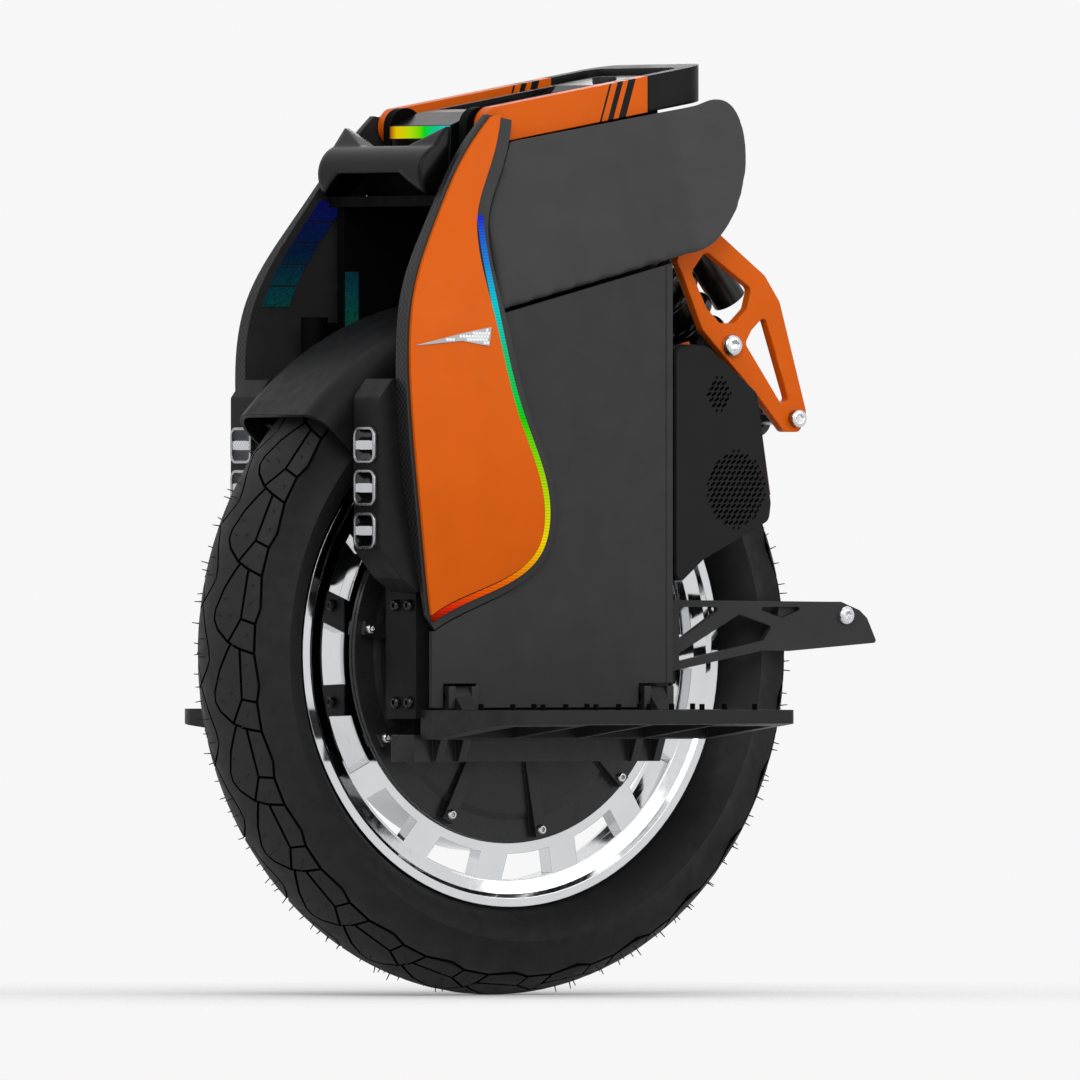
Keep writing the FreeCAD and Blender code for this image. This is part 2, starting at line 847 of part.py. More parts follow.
def make_valve_stem():
    body = new_body("valve_stem")
    barrel = dim.rim_seat_radius - dim.rim_well_depth - dim.rim_wall - dim.fit_gap
    slim = dim.valve_radius * 0.75
    post(body, "XY_Plane", dim.valve_length * 0.5 - barrel, dim.valve_length * 0.5, (0, 0), slim)
    post(body, "XY_Plane", -barrel, dim.valve_length * 0.5, (0, 0), dim.valve_radius)
    keep(body, "valve_stem")


# Motor core and wheel carriage

def make_axle():
    body = new_body("axle")
    shoulder = dim.axle_radius + dim.axle_shoulder
    step = dim.bearing_start + dim.bearing_width + dim.fit_gap
    half = [
        (dim.axle_radius, step),
        (shoulder, step),
        (shoulder, dim.plate_inner),
        (dim.axle_end_radius, dim.plate_inner),
        (dim.axle_end_radius, dim.axle_end_out),
        (0, dim.axle_end_out),
    ]
    other_half = [(radius, -across) for radius, across in reversed(half)]
    turned(body, half + other_half)
    keep(body, "axle")


def make_stator():
    core = new_body("stator_core")
    rotor_inner = dim.hub_radius - dim.rotor_wall
    outer = rotor_inner - dim.air_gap
    inner = outer - dim.stator_ring
    hub_half = dim.stator_half - dim.winding_height
    half = [
        (outer, dim.stator_half),
        (inner, dim.stator_half),
        (inner, dim.stator_web_half),
        (dim.stator_hub_radius, dim.stator_web_half),
        (dim.stator_hub_radius, hub_half),
        (dim.axle_radius + dim.slip_gap, hub_half),
    ]
    turned(core, half + [(radius, -across) for radius, across in reversed(half)])
    keep(core, "stator_core")
    winding = new_body("stator_winding")
    turned(winding, rectangle(inner + dim.winding_inset, outer - dim.winding_inset,
                              dim.stator_half, dim.stator_half + dim.winding_height))
    pair(winding, "stator_windings")


def make_axle_nuts():
    nut = new_body("axle_nut")
    seat = dim.plate_inner + dim.plate_thick
    flat = dim.nut_across / 2
    corners = [(flat * (2 * math.cos(math.radians(60 * side)) / math.sqrt(3)),
                flat * (2 * math.sin(math.radians(60 * side)) / math.sqrt(3))) for side in range(6)]
    slab(nut, "XZ_Plane", seat, dim.nut_height, corners)
    bore(nut, "XZ_Plane", seat - dim.overrun, dim.nut_height + dim.overrun * 2, (0, 0),
         dim.axle_end_radius + dim.slip_gap)
    pair(nut, "axle_nuts")


def make_carriage_plates():
    body = new_body("carriage_plate")
    bush = dim.tube_radius + dim.slip_gap + dim.bush_wall
    reach = bush + dim.block_wall
    front = dim.tube_front + reach
    web = dim.plate_web_half
    mid_x = -dim.mid_bolt_back
    edge = dim.arm_end
    arm_mid = dim.front_arm_reach - dim.front_arm_width / 2
    under = dim.tyre_radius + dim.fender_clear - dim.fender_shoulder - dim.panel_gap
    arm_level = root(under * under - arm_mid * arm_mid)
    corners = [
        (front, -dim.block_half_height),
        (front, dim.block_half_height),
        (dim.front_arm_reach, arm_level - dim.front_arm_width),
        (arm_mid, arm_level),
        (dim.front_arm_reach - dim.front_arm_width, arm_level - dim.front_arm_width / 2),
        (dim.tube_front - reach, web),
        (dim.tube_rear + reach, web),
        (mid_x + edge, dim.mid_bolt_level + edge / 2),
        (mid_x - edge / 2, dim.mid_bolt_level + edge),
        (mid_x - edge, dim.mid_bolt_level - edge / 2),
        (dim.tube_rear - reach, web),
        (-dim.rear_plate_reach, web),
        (-dim.rear_plate_reach, -web / 2),
        (dim.tube_rear - reach, -dim.block_half_height),
    ]
    slab(body, "XZ_Plane", dim.plate_inner, dim.plate_thick, corners)
    block_start = dim.plate_inner + dim.plate_thick / 2
    for tube in (dim.tube_front, dim.tube_rear):
        slab(body, "XY_Plane", -dim.block_half_height, dim.block_half_height * 2,
             rectangle(tube - reach, tube + reach, block_start, dim.block_outer))
    over = dim.block_half_height + dim.overrun
    for tube in (dim.tube_front, dim.tube_rear):
        bore(body, "XY_Plane", -over, over * 2, (tube, dim.tube_out), bush + dim.slip_gap)
    through = dim.plate_thick + dim.overrun * 2
    bore(body, "XZ_Plane", dim.plate_inner - dim.overrun, through, (0, 0),
         dim.axle_end_radius + dim.slip_gap)
    pair(body, "carriage_plates")


def tube_places():
    return [(tube, side) for tube in (dim.tube_front, dim.tube_rear)
            for side in (dim.tube_out, -dim.tube_out)]


def make_slider_bushes():
    body = doc.addObject("PartDesign::Body", "slider_bush")
    bush = dim.tube_radius + dim.slip_gap + dim.bush_wall
    post(body, "XY_Plane", 0, dim.bush_length, (0, 0), bush)
    bore(body, "XY_Plane", -dim.overrun, dim.bush_length + dim.overrun * 2, (0, 0),
         dim.tube_radius + dim.slip_gap)
    end = dim.block_half_height - dim.bush_inset
    levels = (-end, end - dim.bush_length)
    places = [(x, y, dim.tyre_radius + level, NO_TURN) for x, y in tube_places() for level in levels]
    copies(body, places, "slider_bushes")


def make_slider_bolts():
    bolt = head_screw("slider_bolt", dim.slider_bolt_radius, dim.slider_bolt_height,
                      dim.slider_bolt_radius / 2, dim.slip_gap)
    face = dim.tube_front + dim.tube_radius + dim.slip_gap + dim.bush_wall + dim.block_wall
    inner = dim.plate_inner + dim.plate_thick + dim.slider_bolt_inset
    outer = dim.block_outer - dim.slider_bolt_inset
    places = []
    for across in (inner, outer, -inner, -outer):
        for level in (dim.slider_bolt_level, -dim.slider_bolt_level):
            places.append((face + dim.slip_gap, across, dim.tyre_radius + level, FACE_FORWARD))
    copies(bolt, places, "slider_bolts")


def make_front_fender():
    body = new_body("front_fender")
    inside = dim.tyre_radius + dim.fender_clear
    skirt_in = dim.plate_inner + dim.plate_thick
    skirt_out = skirt_in + dim.fender_skirt
    low = inside - dim.fender_drop
    half = [
        (inside + dim.fender_wall, skirt_out - dim.fender_shoulder),
        (inside + dim.fender_wall - dim.fender_shoulder, skirt_out),
        (low, skirt_out),
        (low, skirt_in),
        (inside - dim.fender_shoulder, skirt_in),
        (inside, skirt_in - dim.fender_shoulder),
    ]
    bend = QUARTER_ROUND_share
    feature = turned(body, half + [(radius, -across) for radius, across in reversed(half)],
                     {0: bend, 4: -bend, 6: -bend, 10: bend})
    bind(feature, "Angle", dim.fender_rear_angle - dim.fender_front_angle)
    body.Placement.Rotation = FreeCAD.Rotation(LEFT, -SIZES["fender_rear_angle"])
    keep(body, "front_fender")


def make_mudguard():
    truss = new_body("mudguard_truss")
    start = dim.plate_inner + dim.plate_thick
    box = (dim.truss_front, dim.truss_rear, dim.truss_low, dim.truss_high)
    slab(truss, "XZ_Plane", start, dim.truss_thick, *soften(spread(TRUSS_shares, *box), dim.truss_round))
    for window in TRUSS_WINDOW_shares:
        opening(truss, "XZ_Plane", start - dim.overrun, dim.truss_thick + dim.overrun * 2,
                *soften(spread(window, *box), dim.truss_round))
    pair(truss, "mudguard_trusses")
    head = new_body("mudguard_head")
    rear = dim.truss_rear + dim.head_inset
    inner = dim.tyre_half + dim.fit_gap * 2
    gap = dim.tyre_radius + dim.head_clear
    corners = [
        (-dim.head_start, start), (rear, start), (rear, -start), (-dim.head_start, -start),
        (-dim.head_start, -inner), (-gap, -inner), (-gap, inner), (-dim.head_start, inner),
    ]
    slab(head, "XY_Plane", dim.head_low, dim.head_high - dim.head_low, corners)
    for cut in (HEAD_OVER_shares, HEAD_UNDER_shares):
        opening(head, "XZ_Plane", -start - dim.overrun, (start + dim.overrun) * 2, spread(cut, *box))
    keep(head, "mudguard_head")
    bolt = head_screw("mudguard_bolt", dim.guard_bolt_radius, dim.guard_bolt_height,
                      dim.guard_bolt_radius / 2, dim.slip_gap)
    face = start + dim.truss_thick + dim.slip_gap
    level = dim.tyre_radius + dim.guard_bolt_level
    places = [(-dim.guard_bolt_back, face, level, NO_TURN),
              (-dim.guard_bolt_back, -face, level, FACE_RIGHT)]
    copies(bolt, places, "mudguard_bolts")


def make_shock_plates():
    body = new_body("shock_plate")
    start = dim.plate_inner + dim.plate_thick
    rear = -dim.eye_back - dim.shock_plate_edge
    low = dim.eye_level - dim.shock_plate_edge
    box = (rear + dim.shock_plate_length, rear, low, low + dim.shock_plate_height)
    outline = spread(SHOCK_PLATE_shares, *box)
    slab(body, "XZ_Plane", start, dim.shock_plate_thick, *soften(outline, dim.shock_plate_round))
    through = dim.shock_plate_thick + dim.overrun * 2
    for window in SHOCK_WINDOW_shares:
        opening(body, "XZ_Plane", start - dim.overrun, through,
                *soften(spread(window, *box), dim.shock_plate_round))
    bore(body, "XZ_Plane", start - dim.overrun, through, (-dim.eye_back, dim.eye_level),
         dim.eye_pin_radius + dim.slip_gap)
    pair(body, "shock_plates")


def make_shock_plate_bolts():
    face = dim.plate_inner + dim.plate_thick + dim.shock_plate_thick + dim.slip_gap
    bolt = head_screw("shock_plate_bolt", dim.mid_bolt_radius, dim.mid_bolt_height,
                      dim.mid_bolt_radius / 2, dim.slip_gap)
    level = dim.tyre_radius + dim.mid_bolt_level
    places = [(-dim.mid_bolt_back, face, level, NO_TURN), (-dim.mid_bolt_back, -face, level, FACE_RIGHT)]
    copies(bolt, places, "shock_plate_bolts")
    pin = doc.addObject("PartDesign::Body", "shock_lower_pin")
    half = [(dim.eye_pin_radius, face), (dim.eye_pin_head, face),
            (dim.eye_pin_head, face + dim.mid_bolt_height),
            (0, face + dim.mid_bolt_height)]
    turned(pin, half + [(radius, -across) for radius, across in reversed(half)])
    bind(pin, "Placement.Base.x", -dim.eye_back)
    bind(pin, "Placement.Base.z", dim.tyre_radius + dim.eye_level)
    keep(pin, "shock_lower_pin")


# Rear shock, built upright on its lower eye and then leant

def shock_body_object(name):
    body = doc.addObject("PartDesign::Body", name)
    lean_shock(body)
    return body


def lean_shock(thing):
    thing.Placement = FreeCAD.Placement(FreeCAD.Vector(), FreeCAD.Rotation(LEFT, SIZES["shock_lean"]))
    bind(thing, "Placement.Base.x", -dim.eye_back)
    bind(thing, "Placement.Base.z", dim.tyre_radius + dim.eye_level)


def make_shock_rod():
    body = shock_body_object("shock_rod")
    eye = dim.eye_pin_radius + dim.eye_play
    post(body, "XZ_Plane", -dim.eye_half, dim.eye_half * 2, (0, 0), eye + dim.eye_wall)
    post(body, "XY_Plane", eye, dim.lower_seat - eye, (0, 0), dim.rod_stem)
    post(body, "XY_Plane", dim.lower_seat - dim.seat_thick, dim.seat_thick, (0, 0), dim.seat_radius)
    post(body, "XY_Plane", dim.lower_seat - dim.seat_thick, dim.rod_top - dim.lower_seat + dim.seat_thick,
         (0, 0), dim.rod_radius)
    bore(body, "XZ_Plane", -dim.eye_half - dim.overrun, dim.eye_half * 2 + dim.overrun * 2, (0, 0), eye)
    keep(body, "shock_rod")


def make_shock_body():
    body = shock_body_object("shock_body")
    eye = dim.eye_pin_radius + dim.slip_gap
    top = dim.shock_length
    eye_half = dim.lug_inner - dim.fit_gap * 2
    post(body, "XZ_Plane", -eye_half, eye_half * 2, (0, top), eye + dim.eye_wall)
    post(body, "XY_Plane", dim.upper_seat, top - eye - dim.upper_seat, (0, 0), dim.neck_radius)
    post(body, "XY_Plane", dim.upper_seat, dim.seat_thick, (0, 0), dim.seat_radius)
    post(body, "XY_Plane", dim.damper_bottom, dim.upper_seat - dim.damper_bottom, (0, 0),
         dim.damper_radius)
    bridge_low = top - eye - dim.bridge_thick
    slab(body, "XY_Plane", bridge_low, dim.bridge_thick,
         rectangle(-dim.reservoir_offset - dim.bridge_half, 0, -dim.bridge_half, dim.bridge_half))
    bore(body, "XZ_Plane", -eye_half - dim.overrun, eye_half * 2 + dim.overrun * 2, (0, top), eye)
    bore(body, "XY_Plane", dim.damper_bottom + dim.damper_gland,
         dim.damper_bore_end - dim.damper_bottom - dim.damper_gland, (0, 0), dim.damper_bore)
    bore(body, "XY_Plane", dim.damper_bottom - dim.overrun, dim.damper_gland + dim.overrun * 2, (0, 0),
         dim.rod_radius + dim.slip_gap)
    keep(body, "shock_body")
    reservoir = shock_body_object("shock_reservoir")
    post(reservoir, "XY_Plane", dim.reservoir_bottom, bridge_low - dim.reservoir_bottom,
         (-dim.reservoir_offset, 0), dim.reservoir_radius)
    keep(reservoir, "shock_reservoir")


def make_coil_spring():
    """One unbroken round wire, wound on quarter-turn arcs between the two seats."""
    wire = SIZES["coil_wire_radius"]
    radius = SIZES["coil_radius"]
    low = SIZES["lower_seat"] + SIZES["fit_gap"] + wire
    high = SIZES["upper_seat"] - SIZES["fit_gap"] - wire
    steps_per_turn = 4
    steps = SIZES["coil_turns"] * steps_per_turn

    def helix_point(step):
        angle = 2 * math.pi * step / steps_per_turn
        return FreeCAD.Vector(radius * math.cos(angle), radius * math.sin(angle),
                              low + (high - low) * step / steps)

    edges = [Part.Arc(helix_point(step), helix_point(step + 0.5), helix_point(step + 1)).toShape()
             for step in range(steps)]
    lower_end = FreeCAD.Vector(radius, -wire * 2, low)
    upper_end = helix_point(steps) + FreeCAD.Vector(0, wire * 2, 0)
    edges.insert(0, Part.LineSegment(lower_end, helix_point(0)).toShape())
    edges.append(Part.LineSegment(helix_point(steps), upper_end).toShape())
    path = Part.Wire(edges)
    section = Part.Wire([Part.Circle(lower_end, LEFT, wire).toShape()])
    shape = Part.Wire(path).makePipeShell([section], True, False)
    gap = (high - low) / SIZES["coil_turns"] - wire * 2
    print("coil spring: least gap between turns %.2f mm, volume share of wire length %.4f"
          % (gap, shape.Volume / (path.Length * math.pi * wire * wire)))
    spring = doc.addObject("Part::Feature", "coil_spring")
    spring.Shape = shape
    lean_shock(spring)
    keep(spring, "coil_spring")


# Body frame

def clamp_reach():
    return dim.tube_radius + dim.slip_gap + dim.bush_wall + dim.block_wall


def make_pedal_hangers():
    body = new_body("pedal_hanger")
    reach = clamp_reach()
    height = dim.hanger_high - dim.hanger_low
    slab(body, "XY_Plane", dim.hanger_low, height,
         rectangle(dim.tube_rear - reach, dim.tube_front + reach, dim.hanger_inner, dim.hanger_outer))
    lug_in = dim.block_outer + dim.panel_gap * 1.5
    lug_out = dim.hinge_out + dim.knuckle_radius
    lug_high = dim.hinge_level + dim.knuckle_radius
    lug_side = [(dim.hanger_outer - dim.overrun, dim.hanger_low), (lug_in, dim.hanger_low),
                (lug_out, dim.hinge_level - dim.knuckle_radius),
                (lug_out, lug_high), (lug_in, lug_high), (lug_in, dim.hanger_high),
                (dim.hanger_outer - dim.overrun, dim.hanger_high)]
    for hinge in (dim.hinge_front, dim.hinge_rear):
        inner = dim.knuckle_half + dim.fit_gap
        for start in (hinge - inner - dim.hinge_lug, hinge + inner):
            slab(body, "YZ_Plane", start, dim.hinge_lug, lug_side)
        span = dim.knuckle_half * 2 + dim.hinge_lug * 2 + dim.overrun * 2
        bore(body, "YZ_Plane", hinge - span / 2, span, (dim.hinge_out, dim.hinge_level),
             dim.hinge_pin_radius + dim.slip_gap)
    for tube in (dim.tube_front, dim.tube_rear):
        bore(body, "XY_Plane", dim.tube_bottom, dim.hanger_high - dim.tube_bottom + dim.overrun,
             (tube, dim.tube_out), dim.tube_radius + dim.slip_gap)
    pair(body, "pedal_hangers")


def make_guide_tubes():
    body = doc.addObject("PartDesign::Body", "guide_tube")
    post(body, "XY_Plane", dim.tube_bottom, dim.tube_top - dim.tube_bottom, (0, 0), dim.tube_radius)
    copies(body, [(x, y, dim.tyre_radius, NO_TURN) for x, y in tube_places()], "guide_tubes")


def make_side_frames():
    body = new_body("side_frame")
    reach = clamp_reach()
    front = dim.tube_front - reach
    rear = dim.tube_rear + reach
    inner = dim.side_frame_inner
    outer = inner + dim.side_frame_thick
    slab(body, "XZ_Plane", inner, dim.side_frame_thick,
         rectangle(rear, front, dim.side_frame_low, dim.side_frame_high))
    slab(body, "XZ_Plane", outer - dim.tray_wall, dim.tray_outer - outer + dim.tray_wall,
         rectangle(rear, front, dim.side_frame_low, dim.tray_high))
    opening(body, "XZ_Plane", outer, dim.tray_outer - outer + dim.overrun,
            rectangle(rear + dim.tray_wall, front - dim.tray_wall, dim.side_frame_low + dim.tray_wall,
                      dim.tray_high - dim.tray_wall))
    for tube in (dim.tube_front, dim.tube_rear):
        slab(body, "XY_Plane", dim.clamp_low, dim.clamp_high - dim.clamp_low,
             rectangle(tube - reach, tube + reach, inner, dim.block_outer))
    for tube in (dim.tube_front, dim.tube_rear):
        bore(body, "XY_Plane", dim.clamp_low - dim.overrun,
             dim.clamp_high - dim.clamp_low + dim.overrun * 2,
             (tube, dim.tube_out), dim.tube_radius + dim.slip_gap)
    pair(body, "side_frames")


def make_battery_packs():
    body = new_body("battery_pack")
    reach = clamp_reach()
    margin = dim.tray_wall + dim.fit_gap
    outer = dim.side_frame_inner + dim.side_frame_thick
    slab(body, "XZ_Plane", outer, dim.tray_outer - outer - dim.fit_gap,
         rectangle(dim.tube_rear + reach + margin, dim.tube_front - reach - margin,
                   dim.side_frame_low + margin, dim.tray_high - margin))
    pair(body, "battery_packs")


def make_top_deck():
    body = new_body("top_deck")
    low = dim.side_frame_high
    slab(body, "XY_Plane", low, dim.deck_thick,
         rectangle(dim.deck_rear, dim.deck_front, -dim.deck_half, dim.deck_half))
    eye_x, eye_z = upper_eye()
    high = low + dim.deck_thick
    lug = [(dim.deck_rear, low), (dim.deck_rear, high), (eye_x, eye_z + dim.lug_edge),
           (eye_x - dim.lug_edge, eye_z), (eye_x, eye_z - dim.lug_edge)]
    for start in (dim.lug_inner, -dim.lug_inner - dim.lug_thick):
        slab(body, "XZ_Plane", start, dim.lug_thick, lug[::-1])
    outer = dim.lug_inner + dim.lug_thick + dim.overrun
    bore(body, "XZ_Plane", -outer, outer * 2, (eye_x, eye_z), dim.eye_pin_radius + dim.slip_gap)
    keep(body, "top_deck")
    pin = new_body("shock_upper_pin")
    half = dim.lug_inner + dim.lug_thick
    post(pin, "XZ_Plane", -half, half * 2, (eye_x, eye_z), dim.eye_pin_radius)
    keep(pin, "shock_upper_pin")


def upper_eye():
    lean = math.radians(SIZES["shock_lean"])
    return (dim.shock_length * math.sin(lean) - dim.eye_back,
            dim.eye_level + dim.shock_length * math.cos(lean))


def make_controller_box():
    body = new_body("controller_box")
    low = dim.side_frame_high + dim.deck_thick
    high = dim.controller_high
    slab(body, "XY_Plane", low, high - low,
         rectangle(dim.controller_rear, dim.controller_front, -dim.controller_half, dim.controller_half))
    pivot = dim.handle_pivot
    top = dim.handle_pivot_level
    foot = high - dim.overrun
    ear = [(pivot - dim.ear_half, foot), (pivot + dim.ear_half, foot), (pivot + dim.ear_half, top),
           (pivot - dim.ear_half, top)]
    for start in (dim.controller_half - dim.ear_thick, -dim.controller_half):
        slab(body, "XZ_Plane", start, dim.ear_thick, ear, {2: HALF_ROUND_share})
    across = dim.controller_half + dim.overrun
    bore(body, "XZ_Plane", -across, across * 2, (pivot, top), dim.handle_pin_radius + dim.slip_gap)
    keep(body, "controller_box")


def hood_level(x):
    """Level of the hood's top at a place along it, in line with the handle's arms."""
    return handle_level(x) + dim.handle_depth / 2 - dim.hood_below_handle


def make_top_hood():
    body = new_body("top_hood")
    low = dim.controller_high
    wall = dim.hood_wall
    rear = dim.hood_rear
    nose = dim.hood_nose
    side = [(rear, low), (dim.hood_front, low), (dim.hood_front, dim.hood_chin), (nose, hood_level(nose)),
            (rear, hood_level(rear))]
    slab(body, "XZ_Plane", -dim.hood_half, dim.hood_half * 2, side)
    deep = dim.trough_depth + wall
    inner_rear = rear + wall * 2
    hollow = [(inner_rear, low - wall), (dim.hood_front - wall * 2, low - wall),
              (dim.hood_front - wall * 2, dim.hood_chin - wall),
              (nose - wall, hood_level(nose) - deep), (inner_rear, hood_level(inner_rear) - deep)]
    inner_half = dim.hood_half - wall
    opening(body, "XZ_Plane", -inner_half, inner_half * 2, hollow)
    front_ramp = dim.trough_front - dim.trough_ramp
    rear_ramp = dim.trough_rear + dim.trough_ramp
    trough = [(rear_ramp, hood_level(rear_ramp) - dim.trough_depth),
              (front_ramp, hood_level(front_ramp) - dim.trough_depth),
              (dim.trough_front, hood_level(dim.trough_front)),
              (front_ramp, hood_level(front_ramp) + dim.overrun),
              (rear_ramp, hood_level(rear_ramp) + dim.overrun),
              (dim.trough_rear, hood_level(dim.trough_rear))]
    opening(body, "XZ_Plane", -dim.trough_half, dim.trough_half * 2, trough)
    bore(body, "XY_Plane", low, hood_level(rear) - low + dim.overrun, (dim.button_place, 0),
         dim.button_radius + dim.fit_gap)
    bore(body, "YZ_Plane", rear - dim.overrun, wall * 2 + dim.overrun * 2, (0, dim.inlet_level),
         dim.inlet_radius - dim.inlet_flange + dim.slip_gap)
    keep(body, "top_hood")


def make_display_lens():
    body = new_body("display_lens")
    front = hood_level(dim.lens_front) - dim.trough_depth
    rear = hood_level(dim.lens_rear) - dim.trough_depth
    corners = [(dim.lens_rear, rear), (dim.lens_front, front), (dim.lens_front, front + dim.lens_thick),
               (dim.lens_rear, rear + dim.lens_thick)]
    slab(body, "XZ_Plane", -dim.lens_half, dim.lens_half * 2, corners)
    keep(body, "display_lens")


def make_power_button():
    body = new_body("power_button")
    top = hood_level(dim.button_place) + dim.button_stand
    skin = dim.hood_wall + dim.trough_depth
    post(body, "XY_Plane", top - dim.button_height - skin, dim.button_height + skin,
         (dim.button_place, 0), dim.button_radius)
    keep(body, "power_button")


def make_charge_inlet():
    body = new_body("charge_inlet")
    neck = dim.inlet_radius - dim.inlet_flange
    post(body, "YZ_Plane", dim.hood_rear - dim.inlet_flange, dim.inlet_flange, (0, dim.inlet_level),
         dim.inlet_radius)
    post(body, "YZ_Plane", dim.hood_rear - dim.inlet_flange, dim.inlet_depth + dim.inlet_flange * 2,
         (0, dim.inlet_level), neck)
    bore(body, "YZ_Plane", dim.hood_rear - dim.inlet_flange - dim.overrun,
         dim.inlet_depth + dim.inlet_flange + dim.overrun,
         (0, dim.inlet_level), dim.inlet_bore)
    keep(body, "charge_inlet")


def make_front_brow():
    """A bridge between the front pillars, low in the middle, arched below and round in front."""
    low = dim.side_frame_high + dim.deck_thick
    front = new_body("brow_front_view")
    half = dim.brow_half
    corners = [(-half, low), (-dim.brow_arch_half, dim.brow_mid_low),
               (dim.brow_arch_half, dim.brow_mid_low), (half, low),
               (half, dim.brow_side_high), (dim.brow_flat_half, dim.brow_mid_high),
               (-dim.brow_flat_half, dim.brow_mid_high),
               (-half, dim.brow_side_high)]
    slab(front, "YZ_Plane", dim.brow_back - dim.overrun, dim.brow_front - dim.brow_back + dim.overrun * 2,
         corners)
    side = new_body("brow_side_view")
    top = dim.brow_side_high + dim.overrun
    profile = [(dim.brow_back, low - dim.overrun), (dim.deck_front, low - dim.overrun),
               (dim.brow_front, dim.brow_mid_low),
               (dim.deck_front, dim.brow_mid_high), (dim.brow_back, top)]
    slab(side, "XZ_Plane", -half - dim.overrun, half * 2 + dim.overrun * 2, profile,
         {1: BROW_ROUND_share, 2: BROW_ROUND_share})
    brow = doc.addObject("Part::Common", "front_brow")
    brow.Base = front
    brow.Tool = side
    keep(brow, "front_brow")


def make_front_light_bar():
    body = new_body("front_light_bar")
    slab(body, "YZ_Plane", dim.hood_front, dim.bar_thick,
         rectangle(-dim.bar_half, dim.bar_half, dim.bar_low, dim.bar_high))
    keep(body, "front_light_bar")


# Side panels

def spline_edge(points):
    curve = Part.BSplineCurve()
    curve.interpolate(points)
    return curve.toShape()


def line_edge(start, end):
    return Part.LineSegment(start, end).toShape()


def fairing_chain(shares, shift):
    """Points along a chain of the fairing's edge, moved outwards by a size."""
    places = spread(shares, dim.fairing_rear, dim.fairing_front, dim.fairing_low, dim.fairing_high)
    points = [FreeCAD.Vector(float(x), 0, float(z)) for x, z in places]
    moved = []
    for index, point in enumerate(points):
        before = points[max(index - 1, 0)]
        after = points[min(index + 1, len(points) - 1)]
        way = (after - before).normalize()
        moved.append(point + FreeCAD.Vector(way.z, 0, -way.x) * float(shift))
    return moved


def edge_face(edges):
    return Part.Face(Part.Wire(edges))


def fairing_prism(front_shift, rear_shift):
    """The fairing's side outline, raised across the body."""
    front = fairing_chain(FAIRING_FRONT_shares, front_shift)
    rear = fairing_chain(FAIRING_REAR_shares, rear_shift)
    edges = [spline_edge(front), line_edge(front[-1], rear[0]), spline_edge(rear)]
    if rear[-1] != front[0]:
        edges.append(line_edge(rear[-1], front[0]))
    return raise_outline(edges)


def raise_outline(edges):
    """A prism across the left half of the body from an outline in the middle plane."""
    return edge_face(edges).extrude(LEFT * float(dim.body_half + dim.overrun))


def side_curve(shares, shift):
    """Points of the body's side, seen from the front, from low to high."""
    span = dim.fairing_high - dim.fairing_low
    return [FreeCAD.Vector(0, float(dim.body_half * across + shift), float(dim.fairing_low + span * up))
            for up, across in shares]


def side_slab(inner, outer):
    """The layer between two curves of the body's side, along the whole body."""
    edges = [spline_edge(outer), line_edge(outer[-1], inner[-1]), spline_edge(inner[::-1]),
             line_edge(inner[0], outer[0])]
    layer = edge_face(edges)
    layer.translate(FORWARD * float(-dim.overrun))
    return layer.extrude(FORWARD * float(dim.fairing_front + dim.frame_border + dim.overrun * 2))


def make_fairings():
    outer = side_curve(SKIN_OUTER_shares, 0)
    under = side_curve(SKIN_OUTER_shares, -dim.fairing_thick)
    inner = side_curve(SKIN_INNER_shares, 0)
    frame = side_slab(inner, under).common(fairing_prism(dim.frame_front_margin, dim.frame_border))
    pair(solid_piece(frame.Solids[0], "fairing_frame"), "fairing_frames")
    skin = side_slab(under, outer).common(fairing_prism(0, 0))
    twins(solid_piece(skin.Solids[0], "fairing"), "fairing")


def make_light_strips():
    under = side_curve(SKIN_OUTER_shares, -dim.fairing_thick)
    top = side_curve(SKIN_OUTER_shares, dim.strip_thick - dim.fairing_thick)
    near = fairing_chain(FAIRING_REAR_shares, dim.strip_gap)[NOTCH_POINT:]
    far = fairing_chain(FAIRING_REAR_shares, dim.strip_gap + dim.strip_width)[NOTCH_POINT:]
    edges = [spline_edge(far), line_edge(far[-1], near[-1]), spline_edge(near[::-1]),
             line_edge(near[0], far[0])]
    strip = side_slab(under, top).common(raise_outline(edges))
    strip = strip.cut(fairing_prism(0, dim.strip_gap))
    pair(solid_piece(strip.Solids[0], "light_strip"), "light_strips")


def make_reflectors():
    outer = side_curve(SKIN_OUTER_shares, 0)
    top = side_curve(SKIN_OUTER_shares, dim.reflector_thick)
    places = spread(REFLECTOR_shares, dim.fairing_rear, dim.fairing_front, dim.fairing_low,
                    dim.fairing_high)
    points = [FreeCAD.Vector(float(x), 0, float(z)) for x, z in places]
    edges = [line_edge(points[index - 1], point) for index, point in enumerate(points)]
    reflector = side_slab(outer, top).common(raise_outline(edges))
    pair(solid_piece(reflector.Solids[0], "reflector"), "reflectors")


def split_level(x):
    """Level of the sloping joint between the side cover and the pad."""
    share = (float(dim.split_front) - x) / float(dim.split_front - dim.cover_rear)
    return float(dim.split_front_level) + float(dim.split_rear_level - dim.split_front_level) * share


